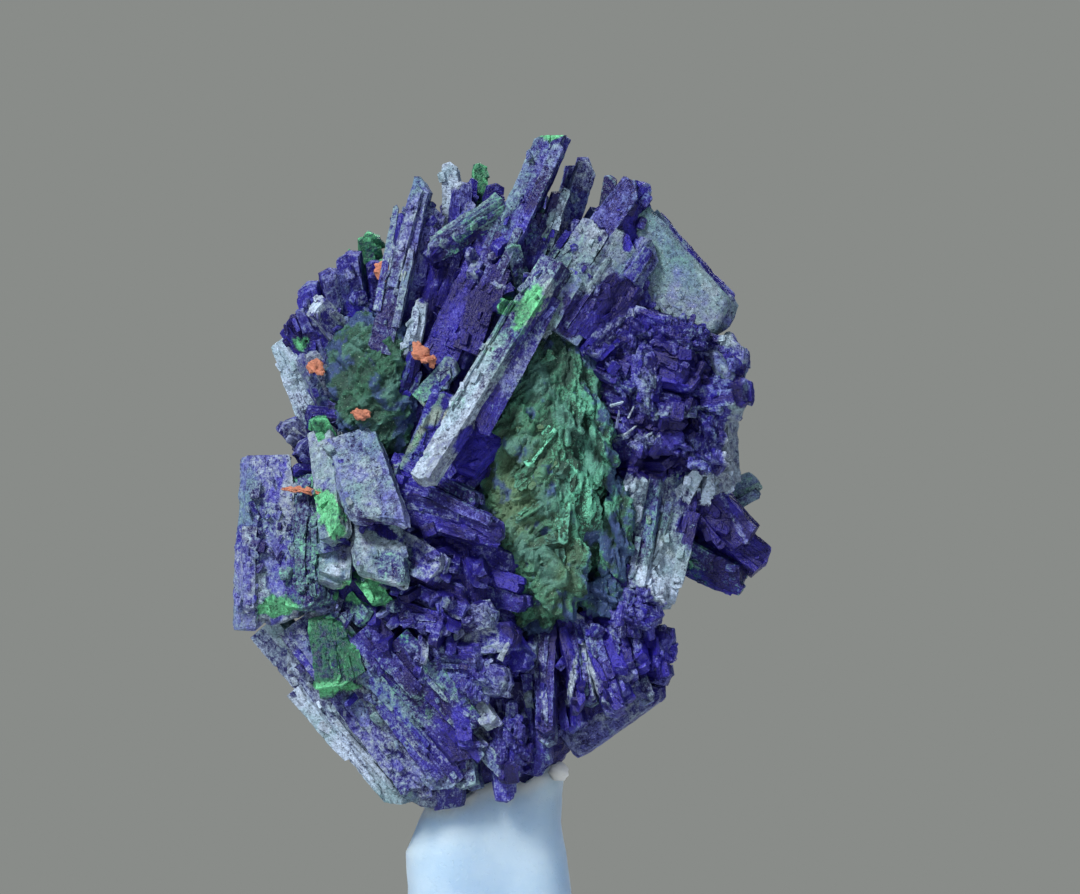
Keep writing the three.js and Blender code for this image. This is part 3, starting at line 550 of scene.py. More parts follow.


# the front's blades by region, read off the photo. Each row has the root and the tip (across,
# depth and up in millimetres), the width, the thickness, the roll in degrees, how wide the tip is as a
# share of the root, how much the tip's left and right corners are cut short, and the finish; a finish
# with > changes from the first word at the root to the second at the tip
frontCrystals = {
    "upperFan": [
        [-3.6, -9, 68.5, 6.7, -9.4, 92, 3.4, 3.2, -25, 0.85, 2.6, 0.3, "violet>steel"],
        [4.4, -7.2, 73.5, 9.8, -6, 89, 2.6, 2.4, 12, 0.75, 0.4, 1.2, "steel"],
        # the "chip" blade is pale mint and stands also for a painted highlight on a glossy facet
        [5.2, -8.4, 80.3, 7.2, -9.6, 86, 1.9, 1.2, 5, 0.95, 0.4, 0.2, "chip"],
        [6.6, -5, 80, 8.3, -4.6, 88.2, 1.7, 1.6, 20, 0.8, 0.2, 0.7, "steel"],
        [10.4, -5.5, 76, 12.1, -5.4, 87.5, 1.7, 1.6, -10, 0.75, 0.2, 0.5, "teal"],
        [6.8, -10, 76.2, 14.5, -9.2, 86.6, 2.7, 2.8, -12, 0.9, 0.3, 1.4, "violet"],
        [9.8, -8.8, 74.6, 15.5, -7.6, 86.4, 2.5, 2.8, 24, 0.85, 0.2, 1.6, "violet"],
        [4, -10.8, 72, 10.8, -10.2, 82.6, 3.6, 2.4, -8, 0.9, 0.6, 1, "grey"],
        [7, -10.2, 71.4, 13.6, -9.6, 81.4, 3.4, 2.4, 10, 0.9, 0.4, 1.2, "grey"],
        [9.8, -9.6, 70.8, 16, -8.6, 80.6, 3.4, 2.6, 18, 0.85, 0.5, 1.4, "dusty"],
        [12, -8.4, 71.4, 15.6, -7.4, 79.8, 2.6, 2.4, 6, 0.9, 0.5, 1, "deep>violet"],
        [15, -5.6, 82.6, 24, -4.8, 72.4, 4.6, 2.6, 16, 0.95, 1.4, 0.3, "fan"],
        [13.2, -6.8, 81, 21.6, -6.4, 70.8, 5.4, 2.6, 6, 0.9, 1.2, 0.6, "fan"],
        [15.6, -2, 82.4, 24.2, -1.2, 73.4, 3.4, 3, 30, 0.9, 1.2, 0.6, "deep"],
        [-10.9, -9.8, 69.6, -6.5, -8.6, 87, 2.7, 2.6, -16, 0.7, 0.2, 1.5, "steel"],
        [-5.2, -9.6, 68.2, 1.4, -9, 82.4, 4.4, 2.6, -16, 0.9, 0.4, 1.2, "deep>rough"],
        [-2.4, -11, 69.8, 1, -10.4, 78.6, 2.8, 2, -8, 0.85, 0.3, 0.8, "deep>rough"],
        [1.4, -9, 84.4, -6, -10.4, 79.6, 2.6, 2, -34, 0.9, 0.3, 0.9, "greenGrey"],
        [-3.4, -4, 80, -4, -5.4, 88.8, 2.2, 1.9, -18, 0.7, 0.3, 0.8, "pale"],
        [-2.4, -4, 80, -1.8, -4.8, 87.4, 1.4, 1.3, 8, 0.8, 0.3, 0.4, "violet"],
        [-3.5, -6.4, 77.2, -2.9, -7.2, 86.4, 2.3, 2, 14, 0.75, 0.7, 0.3, "violet"],
        [-1, -3, 80.2, -1.1, -2.4, 88.8, 1.8, 1.6, 0, 0.75, 0.3, 0.5, "green"],
        [-1.2, -6, 78, 0.6, -7.2, 86.2, 2.2, 1.8, 20, 0.8, 0.5, 0.3, "deep"],
        [-8.2, -9.4, 68.6, -6.6, -11, 75.2, 2, 1.9, -10, 0.55, 0.4, 0.6, "pale"],
        [-6.8, -9.6, 65, -3.4, -12.2, 68.8, 2.2, 1.4, -12, 0.9, 0.3, 0.6, "teal"],
        [-8.8, -9, 65.2, -7.2, -11.4, 69.8, 1.7, 1.5, 16, 0.8, 0.4, 0.2, "deep"],
        [-7, -9, 58.6, -4.4, -11.8, 65.8, 3.2, 2.2, -10, 0.85, 0.6, 0.4, "vivid"],
        [-8.8, -7.4, 72, -5.6, -7.8, 84.4, 3, 2.2, 12, 0.8, 0.5, 0.8, "violet"],
        [-7.2, -8.2, 69, -3, -8.4, 82.4, 3.4, 2.2, 24, 0.85, 0.6, 0.5, "deep"],
        [0.6, -8.8, 70.4, 5.2, -8.6, 83.8, 3.4, 2.4, 12, 0.85, 0.5, 0.9, "deep"],
    ],
    "centre": [
        [6.6, -12, 78.6, -6.9, -16.8, 56.5, 2.9, 2.8, 26, 0.8, 0.9, 0.2, "teal>lavender"],
        [5.6, -11.6, 75.4, -1.2, -14.8, 61.8, 2.6, 2.8, -20, 0.8, 0.4, 1.4, "violet"],
        [4, -10.6, 72.8, 0.6, -13.8, 74.6, 2, 1.4, 0, 0.8, 0.2, 0.6, "green"],
        [3.4, -9, 65.2, -3, -12.8, 58.2, 4.2, 2, 14, 0.85, 0.6, 0.8, "window"],
        [0.4, -8, 60.6, -5, -12.2, 54.6, 3.8, 2.2, 0, 0.85, 0.5, 0.7, "vivid"],
        [3.2, -9, 76.2, 2.2, -11.6, 80.4, 1.7, 1.4, 10, 0.8, 0.2, 0.4, "teal"],
    ],
    "leftTop": [
        [-12.8, -3.4, 69.4, -14.2, -6.8, 79.4, 2.8, 2.8, -14, 0.9, 0.7, 0.3, "violet"],
        [-14.6, -3, 68.6, -15.8, -7, 78, 2.7, 2.6, 14, 0.85, 0.4, 0.7, "violet"],
        [-15.2, -3, 66.6, -18.4, -6.8, 76.4, 2.8, 2.6, -16, 0.85, 0.9, 0.3, "violet"],
        [-13.8, -5, 70.4, -17.4, -9.2, 74.4, 2.6, 2.2, 10, 0.9, 0.3, 0.3, "dusty"],
        [-14.6, -2.4, 65, -20.2, -5.2, 73.6, 2.8, 2.4, -10, 0.85, 0.6, 0.4, "rough"],
        [-16.4, -2.2, 60.6, -20.6, -3.6, 71.6, 3.4, 2.8, -30, 0.85, 0.7, 0.2, "pale>white"],
        [-14.2, -4.6, 60.8, -18.4, -7.8, 69.6, 2.8, 2.4, 8, 0.85, 0.5, 0.5, "dusty"],
        [-11.8, -2.2, 73.2, -12.2, -3.6, 81.6, 3, 2.6, 0, 0.75, 0.6, 0.5, "green"],
        [-10.8, -4.6, 72.8, -11.8, -6.8, 79.2, 1.7, 1.5, 10, 0.85, 0.4, 0.3, "violet"],
        [-15.6, -3.4, 57.6, -20.6, -6.2, 62.8, 2.6, 2.3, -10, 0.85, 0.4, 0.6, "dusty"],
        [-14.8, -5, 55.6, -19, -8.6, 60.6, 2.4, 2.2, 12, 0.85, 0.5, 0.4, "violet"],
        [-14.2, -6.4, 56.8, -17.2, -10.2, 63.2, 2.2, 2, 0, 0.8, 0.3, 0.5, "green"],
    ],
    "leftBlock": [
        [-22.4, -7.4, 59.2, -22, -10, 42.6, 4.9, 4.8, -8, 1.55, 0.9, 0, "dusty"],
        [-18.2, -7.6, 57, -18.4, -11.2, 44, 3.6, 4.6, 16, 1, 0.4, 0.5, "greenGrey"],
        [-17.2, -7.6, 56.4, -17.4, -11.6, 44.2, 3.4, 4.6, 30, 1, 0.4, 0.4, "greenGrey"],
        [-15.6, -7, 47.4, -16.8, -10.8, 43.4, 3.8, 2.8, 0, 0.9, 0.2, 0.4, "grey"],
    ],
    "leftPlates": [
        [-13.8, -9.8, 61, -10.9, -17.2, 52.9, 5.6, 3, -6, 1.05, -1.6, 1.7, "grey"],
        [-12, -8.2, 57.2, -10.6, -15.8, 47, 5.4, 2.8, -4, 0.98, -1.3, 1.4, "steel>grey"],
        [-16.4, -8.4, 61.6, -15.2, -14.6, 51.2, 2.8, 3, 26, 1, 0.7, 0.2, "grey"],
        [-15.2, -8, 54.4, -15.4, -13.4, 46.8, 3.6, 2.8, -8, 0.95, 0.3, 0.7, "grey"],
        [-14.6, -7.8, 50.6, -10.6, -12.6, 44.8, 3, 2.4, 0, 0.7, 0.2, 0.9, "green"],
        [-15.8, -7.4, 46.8, -12.2, -11.4, 43, 2.6, 2.2, 10, 0.85, 0.3, 0.5, "greenGrey"],
    ],
    "rightPlates": [
        [-10, -10.4, 55.4, 1.4, -15.4, 51.4, 4.8, 2.6, 10, 0.6, 0.9, 1.4, "violet>rough"],
        [-10.4, -10.6, 51, -4.6, -15.2, 47.8, 3.8, 2.2, -8, 0.9, 0.6, 0.4, "dusty"],
        [-9.6, -9.6, 47.8, -2.2, -14.4, 44.6, 3.6, 2.2, 12, 0.85, 1, 0.4, "violet>dusty"],
        [-10.6, -9.8, 44.2, -4.2, -14.2, 42.6, 2.6, 2, -6, 0.9, 0.6, 0.2, "violet"],
        [-7, -9.8, 42.2, 0.4, -14.8, 43.8, 2.9, 2, 8, 0.9, 0.3, 0.8, "dusty"],
        [-5.4, -9.2, 40.6, 2.6, -14.4, 41.6, 3.4, 2.2, -6, 0.85, 0.6, 0.8, "dusty"],
        [-8.4, -9.6, 39.8, -0.8, -14, 39.6, 2.5, 1.9, 12, 0.9, 0.2, 0.5, "violet"],
        [-6.6, -8.8, 38.6, 2.2, -13.6, 36.8, 4.4, 3, 0, 0.75, 1.2, 0.9, "dusty"],
        [-0.6, -8.2, 43.8, 3.8, -12.4, 38.4, 3, 2.4, 16, 0.75, 0.5, 0.9, "rough>vivid"],
        [-4.4, -8.6, 52, 2.6, -12.8, 48.6, 2.6, 2, 10, 0.7, 0.6, 0.2, "violet"],
        [-5, -9, 49.4, 3.4, -13, 46.4, 2.5, 2, -8, 0.7, 0.7, 0.3, "vivid"],
        [-4.6, -8.6, 46.8, 3.8, -12.8, 44.6, 2.5, 2, 8, 0.7, 0.3, 0.7, "violet"],
        [-9.6, -9.4, 58.4, -1, -13.6, 54.6, 3, 2.2, 6, 0.7, 0.7, 0.6, "vivid"],
    ],
    "lowerLeft": [
        [-22.2, -5.2, 42.6, -8, -6.4, 24.6, 3.8, 3.4, 22, 0.92, 0.2, 1.6, "pale"],
        [-19.4, -8, 42.8, -6.6, -8.8, 25.8, 4, 3.2, -8, 0.95, 0.3, 1.4, "dusty"],
        [-16, -9.4, 42.6, -3.6, -9.6, 26.4, 4.2, 3.4, 10, 0.95, 0.3, 1.2, "steel"],
        [-12.6, -10.2, 42.2, -1.6, -10.4, 29, 4, 3.2, -8, 0.92, 0.4, 1, "rough"],
        [-9.2, -10.6, 41.2, -1.2, -11.4, 32.2, 3.4, 2.8, 10, 0.85, 0.4, 0.8, "darkTeal>teal"],
        [-16.2, -10.4, 43.4, -14.6, -12, 36, 3.8, 2, -10, 1.35, 1, 0.1, "green>darkLeaf"],
    ],
    "bottom": [
        [-7, -6.6, 39, -5.6, -7.4, 24.4, 6, 3.6, -8, 1.1, 0.3, 0.9, "rough>steel"],
        [-3.6, -7.6, 37.6, -2.6, -9.4, 26.2, 3.8, 3.2, 14, 0.95, 0.4, 1, "steel"],
        [-3.1, -9.4, 37, -2.4, -12, 30.8, 1.9, 1.8, 0, 0.7, 0.2, 0.4, "vivid"],
        [-3, -9.4, 36.6, 0.4, -12.8, 32.6, 2.3, 1.8, 0, 0.7, 0.2, 0.7, "lavender"],
        [-3, -8.8, 32.8, 2.2, -11.6, 27.4, 1.9, 1.7, 14, 0.9, 0.2, 0.5, "dusty"],
        [0.4, -7.6, 36, 1.6, -9.2, 25.2, 3.2, 2.6, -10, 0.7, 0.6, 0.5, "violet"],
        [3.4, -7.2, 40, 4.6, -8.4, 27.8, 4.6, 3.4, 8, 0.9, 0.7, 0.9, "rough"],
        [15, -1.6, 40.2, 8.6, -2.4, 32.2, 5, 4.4, 0, 0.9, 0.5, 0.8, "deep"],
    ],
    "roughMass": [
        [15.8, -6.6, 76, 9.6, -10.8, 69.2, 2.6, 2.4, -16, 0.85, 0.4, 0.6, "violet"],
        [11, -6, 73.4, 20, -9.8, 70.6, 5, 3.4, 24, 0.75, 0.6, 1, "rough"],
        [10.4, -6.4, 69.8, 20.6, -11.4, 67.4, 5, 3.4, -18, 0.75, 1.2, 0.6, "rough"],
        [10.4, -6.2, 66.4, 19.8, -10.6, 63.4, 4.8, 3.2, 20, 0.75, 0.5, 1.2, "rough"],
        [15, -4, 70.4, 25.5, -8, 68.2, 6.4, 4.4, -14, 0.75, 1.2, 0.5, "violet"],
        [15, -4.6, 67, 25.8, -9.4, 64.8, 5.4, 4.4, 14, 0.8, 0.4, 1, "violet"],
        [10.8, -5.6, 63.4, 18.8, -9.6, 60.8, 4.6, 3, -16, 0.8, 0.5, 0.9, "rough"],
        [14.6, -4.2, 64.2, 23.2, -8, 59.2, 5.2, 3.6, 18, 0.8, 1, 0.6, "violet"],
        [22.4, -2.4, 68, 23.2, -4.4, 56, 3.6, 3.4, 24, 0.85, 0.3, 0.6, "lavender"],
        [18.6, -4.2, 53.4, 20.8, -7.6, 57.8, 1.4, 1.3, -8, 0.8, 0.4, 0.2, "white"],
        [20.6, -3.8, 53, 22.2, -6.8, 57, 1.2, 1.1, 10, 0.8, 0.2, 0.3, "white"],
        [21.8, -2.8, 53.4, 23.8, -6, 58, 1.4, 1.3, 0, 0.8, 0.2, 0.4, "white"],
    ],
    "right": [
        [19.6, -4.2, 60, 16.4, -6.8, 44.6, 4.2, 3.6, -14, 1, 0.2, 0.9, "teal>pale"],
        [16.2, -5.6, 59.4, 14.2, -8, 46, 3.6, 3.2, 16, 1, 0.4, 0.5, "teal"],
        [13.4, -5.8, 51.6, 14.8, -9, 57.8, 3, 2.4, -14, 0.8, 0.3, 0.6, "pale"],
        [12.6, -5.8, 58.4, 12.6, -8.4, 45.6, 2.8, 2.6, 0, 0.9, 0.3, 0.4, "deep"],
        [17.8, -2.6, 59.4, 26, -4.6, 50.8, 4.2, 3.2, 10, 0.85, 0.6, 0.4, "deep"],
        [17.4, -1.6, 56.4, 27.6, -3, 48.4, 3.8, 3.2, -24, 0.85, 0.6, 0.3, "deep"],
        [15.8, -1, 51.6, 25.6, -2.4, 46.8, 3.8, 3.2, 20, 0.9, 0.9, 0.3, "darkTeal"],
        [21, -0.2, 52.4, 26.6, -0.8, 57, 2.6, 2.4, 0, 0.85, 0.4, 0.4, "teal"],
        [11.8, -6.2, 44, 16.8, -10, 43.4, 3.2, 3.2, 10, 0.7, 0.7, 0.6, "violet"],
        [11.8, -5.4, 42, 18, -8.2, 41.2, 2.5, 2.4, -10, 0.8, 0.5, 0.4, "rough"],
        [11.4, -5, 40.2, 18.8, -7, 39.8, 2.6, 2.6, 12, 0.8, 0.5, 0.5, "vivid"],
        [11.2, -4.8, 38.4, 18.2, -6.6, 37.4, 2.6, 2.6, -6, 0.8, 0.5, 0.5, "rough"],
        [10.6, -4.4, 37.2, 17.4, -6, 35.2, 2.6, 2.6, 8, 0.8, 0.4, 0.7, "rough"],
    ],
    "comb": [
        [6, -7.6, 43, 5.6, -11.4, 31, 2, 3.2, 12, 0.8, 0.5, 0.9, "rough>violet"],
        [7.2, -7.8, 43.4, 8.8, -12.4, 34.4, 1.5, 3, -12, 0.85, 0.8, 0.2, "deep"],
        [8.4, -7.4, 42.8, 10, -11.6, 34.4, 1.8, 3.2, 10, 0.9, 0.3, 0.6, "rough>steel"],
        [9, -7.6, 43.2, 12.6, -12, 33.8, 2.2, 3.2, -8, 0.9, 0.2, 0.9, "violet"],
        [10.6, -7, 42.4, 13.6, -11, 35, 1.9, 3, 14, 0.85, 0.2, 0.8, "violet>vivid"],
        [11.6, -7, 43.4, 13.6, -12.2, 37.6, 3, 2.8, -10, 0.8, 0.4, 0.9, "violet"],
        [13.2, -6.4, 43, 15, -11, 38.6, 2.4, 2.8, 12, 0.85, 0.2, 0.6, "violet"],
        [13, -6, 40.6, 15.6, -9.2, 34.8, 2.2, 3, -12, 0.85, 0.2, 0.9, "rough>steel"],
    ],
}

# broad plates whose faces are nearly smooth: the fan's outer plate and the lower right one
smoothPlates = [
    [13.6, -7.6, 82.4, 22.7, -7.4, 71.9, 6.2, 1.8, 6, 1, 1.2, 0.2, "fan"],
    [16.2, -4, 36.8, 7.4, -5.2, 30.4, 4.6, 3.4, 0, 0.95, 0.5, 0.8, "smoothDark"],
]

# small bright crystals in the hollows, in rows of the same kind; pale, they are painted highlights standing
# for glints
facets = [
    [12, -10.9, 64.4, 13.3, -11.5, 64.8, 0.25, 0.25, 30, 0.8, 0.1, 0.2, "pale"],
    [12.6, -10.6, 62.2, 12.9, -11.2, 64, 0.25, 0.25, 10, 0.6, 0.1, 0.3, "dusty"],
    [13.8, -10.9, 63.2, 14.4, -11.3, 64.4, 0.25, 0.25, -20, 0.6, 0.1, 0.3, "lavender"],
    [13.4, -10.4, 61.4, 14.6, -10.9, 62.4, 0.28, 0.25, 20, 0.7, 0.2, 0.1, "lavender"],
    [15.6, -10.2, 61.4, 16.4, -10.7, 61.9, 0.25, 0.25, 0, 0.8, 0.1, 0.1, "pale"],
    [8.6, -9.6, 76.4, 10, -11.4, 78, 0.8, 0.5, 0, 0.8, 0.1, 0.2, "grey"],
    [1, -14.8, 39.2, 1.9, -15.2, 40.9, 0.7, 0.4, 0, 0.7, 0.2, 0.3, "lavender"],
]

# rings of blades over the back and the flanks; angle 0 is straight back and 90 is the right flank
back = {
    "centre": (-1.0, 0.0, 58.0),
    "reach": (20.0, 18.0, 28.0),
    "rings": [(-66, -90, 90, 5, 5.8), (-40, -100, 100, 7, 6.8), (-14, -104, 104, 8, 7.4),
              (12, -104, 104, 8, 7.2), (38, -100, 100, 7, 6.4), (64, -90, 90, 5, 5.4)],
    "finishes": ("violet", "rough", "dusty", "steel", "deep", "greenGrey", "violet", "vivid", "grey",
                 "dusty>violet"),
}


def backRows():
    # a blade stands out from the centre at each step round a ring, shaken a little
    rows = []
    centre, reach = np.array(back["centre"]), np.array(back["reach"])
    for k, (height, first, last, count, width) in enumerate(back["rings"]):
        for i in range(count):
            n = 40 * k + i
            turn = math.radians(first + (last - first) * (i + 0.6 * chance(n) - 0.3) / (count - 1))
            lift = math.radians(height + 14 * (chance(n + 7) - 0.5))
            out = np.array([math.sin(turn) * math.cos(lift), math.cos(turn) * math.cos(lift), math.sin(lift)])
            sway = np.array([s * (chance(n + 17 + j) - 0.5) for j, s in enumerate((8, 4, 9))])
            tip = centre + out * reach * (0.86 + 0.14 * chance(n + 13))
            root = centre + out * reach * 0.3 + sway
            finish = back["finishes"][int(chance(n + 51) * len(back["finishes"]))]
            rows.append([*root, *tip, width * (0.75 + 0.5 * chance(n + 23)), 2.6 + 1.4 * chance(n + 29),
                         180 * chance(n + 31), 0.85, 0.9 * chance(n + 37), 0.9 * chance(n + 41), finish])
    return rows


# rough masses under the blades: centre and radii in millimetres
masses = [
    ((-1, 0.5, 58), (15, 10.5, 22)),
    ((-12, -5, 51), (8, 6.4, 9.6)),
    ((-4, -6.4, 46), (7, 6, 8.6)),
    ((14, -2, 65), (8.6, 6, 9.6)),
    ((4, -3.4, 76), (12, 5.6, 7)),
    ((-10, -3.6, 38), (8, 6, 8)),
    ((8, -2.6, 39), (8.4, 6, 7)),
    ((0, -0.5, 34), (8.6, 7, 9.4)),
]
massRelief = 2.2

# rough lobes in the right half: centre, radii and how far the top leans right, in millimetres
lobes = [
    ((18.8, -9.6, 70.9), (2.9, 2.2, 1.6), 0.3, "rough"),
    ((15.7, -10.4, 66.9), (1.2, 1.9, 3.2), -0.1, "violet"), ((20.3, -9, 67.6), (1.6, 1.6, 1.5), 0, "deep"),
    ((23.3, -6.6, 67.2), (2.5, 3.2, 3.7), 0.1, "softViolet"),
    ((18.4, -9.8, 63.8), (2.2, 2.2, 0.9), 1, "dusty"), ((21.6, -7.8, 61.8), (1.9, 2.2, 3), 0.1, "rough"),
    ((15.6, -9.4, 60.6), (1.4, 1.6, 1), 0.2, "dusty"), ((21.8, -8.4, 58.9), (2, 2, 1), 0.3, "violet"),
    ((14.6, -9, 71.8), (2.2, 2.2, 1.7), 0.4, "rough"), ((12.9, -9.4, 66.8), (0.7, 1.6, 2.6), -0.5, "rough"),
    ((19.2, -8.4, 60.2), (1.6, 1.6, 0.8), 0.6, "rough"), ((13.9, -9.6, 42.8), (2, 2.2, 1.4), 0, "violet"),
    ((16.9, -7.6, 39.6), (1.1, 1.6, 1.6), 0.1, "vivid"), ((2, -10.8, 30.6), (1.6, 1.8, 3), 0, "rough"),
    ((-1.4, -12.4, 37.2), (2.4, 1.8, 2.2), 0.1, "violet"),
    ((15.6, -8.4, 45.2), (1.9, 1.9, 1.5), 0.3, "violet"),
]

malachite = {
    "malachite_core": {
        "centre": (5, -6.6, 57.2), "radii": (6.6, 6.6, 17.4), "ridges": 9, "lean": 0.06,
        "rings": 230, "points": 230, "seed": 71, "rough": 1, "tint": (0, 0, 0, 0),
        "lobes": [
            ((1.2, -9.8, 54.6), (2.6, 2.2, 3.2), 0.3), ((11.2, -8.6, 45.2), (2.3, 2, 2), -0.2),
            ((10.6, -9.2, 60.4), (1.8, 2.4, 4.4), -0.1), ((6.6, -11, 47.4), (3.2, 2, 4.2), 0.1),
            ((3.2, -11.4, 62.2), (2.8, 1.9, 4.2), 0.1), ((12.4, -8.8, 51.6), (1.7, 1.6, 4.6), 0.05),
            ((0.6, -9.6, 47.4), (2, 1.6, 2.2), 0.4), ((7.8, -12.4, 62.6), (1.4, 1, 2.4), 0.1),
        ],
    },
    "malachite_left": {
        "centre": (-11.6, -6.4, 66.2), "radii": (4.6, 5.2, 7.2), "ridges": 6, "lean": -0.12,
        "rings": 120, "points": 130, "seed": 83, "rough": 0.8, "tint": (-0.1, 0, 0.3, 0.1),
        "lobes": [
            ((-13.6, -9.6, 64), (1.8, 1.4, 2.2), 0.2), ((-9.6, -9.8, 69.2), (1.7, 1.4, 2.6), 0.2),
            ((-12.6, -9.4, 70), (1.9, 1.4, 1.8), -0.2),
        ],
    },
}

malachiteLobe = (66, 76, 0, 0.3)  # rings, points, ridges and bumps of each lobe

# where the core is bright, olive and dark, seen from the front: middle across and up, half sizes, share
malachiteSpots = {
    "bright": [(10.2, 58.0, 2.8, 8.0, 1.0)],
    "olive": [(2.4, 55.5, 3.0, 5.5, 1.0), (8.0, 47.5, 2.6, 3.6, 0.7)],
    "dark": [(5.0, 70.0, 4.0, 4.0, 1.0)],
}


def spotsAt(word, x, z):
    # each spot fades from its middle as the exponential of minus its squared distance
    return sum(share * np.exp(-(((x - across) / halfX) ** 2 + ((z - up) / halfZ) ** 2))
               for across, up, halfX, halfZ, share in malachiteSpots[word])


def lumpReach(lump, x, z):
    # how far a point seen from the front lies from a leaning lump's middle; 1 is on its outline
    (cx, _, cz), (rx, _, rz) = lump["centre"], lump["radii"]
    return np.hypot((x - cx - lump["lean"] * (z - cz)) / rx, (z - cz) / rz)


def lumpGrid(centre, radii, rings, points, ridges=0, bump=0.08, lean=0.0):
    # a ball given by its height angle and its turn, swollen by its own ridges and bumps
    lift = np.linspace(-0.5, 0.5, rings)[:, None] * math.pi * 0.992
    turn = np.arange(points)[None, :] * (2 * math.pi / points)
    p = np.stack([np.cos(lift) * np.cos(turn), np.cos(lift) * np.sin(turn), np.sin(lift) + 0 * turn], axis=-1)
    x, y, z = p[..., 0], p[..., 1], p[..., 2]
    bumps = np.sin(5.1 * x + 3.3 * z + 1) * np.sin(4.3 * y - 2.7 * z) + np.sin(7.7 * z + 4.9 * x)
    ridge = 0.05 * np.cos(ridges * (np.arctan2(x, -y) + 1.4 * z)) * (1 - z * z) if ridges else 0
    swell = 1 + bump * 0.5 * bumps + ridge
    spot = np.array(centre) + p * np.array(radii) * swell[..., None]
    spot[..., 0] += lean * radii[2] * z
    normal = p / np.array(radii)
    normal /= np.linalg.norm(normal, axis=-1)[..., None]
    uv = np.stack([turn * radii[0] + 0 * lift, lift * radii[2] + 0 * turn], axis=-1)
    n = rings * points
    return {"place": spot.reshape(n, 3), "normal": normal.reshape(n, 3), "uv": uv.reshape(n, 2),
            "rings": (rings, points)}


def massPiece(material):
    # the masses, roughened by sharp-crested noise and dark all over
    sizes = [(130, 170) if radii[0] > 12 else (60, 80) for centre, radii in masses]
    grids = [lumpGrid(*mass, *size) for mass, size in zip(masses, sizes)]
    whole = joined(grids)
    crest = 0.7 * sharpCrest(whole["place"], 0.5, 91) + 0.3 * sharpCrest(whole["place"], 1.1, 95)
    whole["place"] += whole["normal"] * (massRelief * (crest - 0.78))[:, None]
    whole["relief"] = (crest - 0.7) * 2
    whole["tone"] = np.tile(finishes["deep"], (len(crest), 1))
    piece = makeMesh("azurite_inner_masses", whole, [g["rings"] for g in grids], material, 30)
    place(piece, "azurite", "azurite_cluster")


lobeVariety = (0.5, 0.2, 0.5, 0.3)  # how far a lobe's finish strays from place to place


def lobePiece(material):
    # the lobes, their sharp crests drawn out up and down, with slivers standing on them
    rng = np.random.default_rng(19)
    grids, chips = [], []
    for centre, radii, lean, finish in lobes:
        size = max(radii)
        grid = lumpGrid(centre, radii, int(26 + 12 * size), int(30 + 14 * size), 0, 0.3, lean)
        p = grid["place"] + rng.uniform(0, 20, 3)
        crest = sharpCrest(p * (1.3, 1.0, 0.32), 0.9, 131)
        fine = sharpCrest(p * (1.2, 1.0, 0.6), 1.8, 137)
        calm = 0.4 if finish == "softViolet" else 1.0  # the dusty lobe at the right is nearly smooth
        push = calm * (1.1 * (crest - 0.8) + 0.6 * (fine - 0.8))
        grid["place"] = grid["place"] + grid["normal"] * push[:, None]
        stray = (layeredNoise(p, 0.8, 2, 139) - 0.5)[:, None]
        tone = finishes[finish] + np.array(lobeVariety) * stray
        grid.update(relief=push * 1.6 + 0.3, tone=tone, local=grid["place"], amount=np.full(len(p), 0.4))
        grids.append(grid)
        picks = rng.integers(0, len(p), int(calm ** 2 * (2.5 * size * size + 4)))
        chips.append({"spots": grid["place"][picks], "outward": grid["normal"][picks], "tone": tone[picks],
                      "along": np.array([0.2, 0.0, 1.0]) + 0.25 * rng.normal(size=(len(picks), 3))})
    rings = [g["rings"] for g in grids]
    grids.append(chipGrid(chips, (0.5, 2.4), rng))
    piece = makeMesh("azurite_rough_lobes", roughened(grids), rings + grids[-1]["rings"], material, 34)
    place(piece, "azurite", "azurite_cluster")


# the outline of the specimen seen from the front, across and up in millimetres
frontOutline = np.array([
    (5.1, 91.5), (7.2, 92.2), (8.2, 90), (7.2, 86.5), (9.7, 89.2), (11, 87.5), (12.1, 87.8), (13, 85),
    (15, 86.5), (16.2, 83.8), (21, 79.2), (24.5, 75), (24.8, 70.5), (26, 68), (26, 63), (24.8, 58),
    (27, 56.5), (27.2, 54), (26, 52), (28.2, 48.8), (28, 47), (24.8, 45.4), (20, 47.5), (17.5, 43.8),
    (17.5, 41.8), (18.8, 40), (17.8, 36), (15, 33.4), (11, 31), (7.7, 29.2), (6.5, 28.5), (3, 25.5),
    (1, 26), (-1.2, 26), (-5, 24.2), (-8.3, 23.9), (-12, 27), (-17, 33.5), (-21, 39), (-23.4, 41.8),
    (-26, 42.8), (-25.3, 49), (-24, 59.2), (-20, 58.8), (-21.2, 62), (-20, 64.5), (-21.5, 70.5),
    (-19.8, 76), (-15, 79.5), (-13.2, 81.8), (-10.5, 81.5), (-9.2, 85), (-7, 87.2), (-4.5, 88.8), (-2, 89),
    (-0.2, 87), (1.5, 85),
])


def insideOutline(x, z):
    # a point is inside where a line to its right crosses the outline an odd number of times
    a, b = frontOutline, np.roll(frontOutline, -1, axis=0)
    spans = (a[:, 1] > z) != (b[:, 1] > z)
    cross = a[:, 0] + (z - a[:, 1]) * (b[:, 0] - a[:, 0]) / np.where(spans, b[:, 1] - a[:, 1], 1)
    return (spans & (cross > x)).sum() % 2 == 1


druse = {
    "count": 860, "seed": 17, "length": (2.4, 4.6), "width": (0.8, 2.4),
    "bareShare": 0.88,  # the middle of each green lump that carries no crystals
    "finishes": ("deep", "violet", "rough", "vivid", "dusty", "rough"),
}


def nearMalachite(spot):
    # true inside and in front of the green lumps, which stay bare but for their rims
    for lump in malachite.values():
        d = (spot - np.array(lump["centre"])) / (np.array(lump["radii"]) * druse["bareShare"])
        if d[0] ** 2 + d[2] ** 2 < 1 and d[1] < 0.6:
            return True
    return False


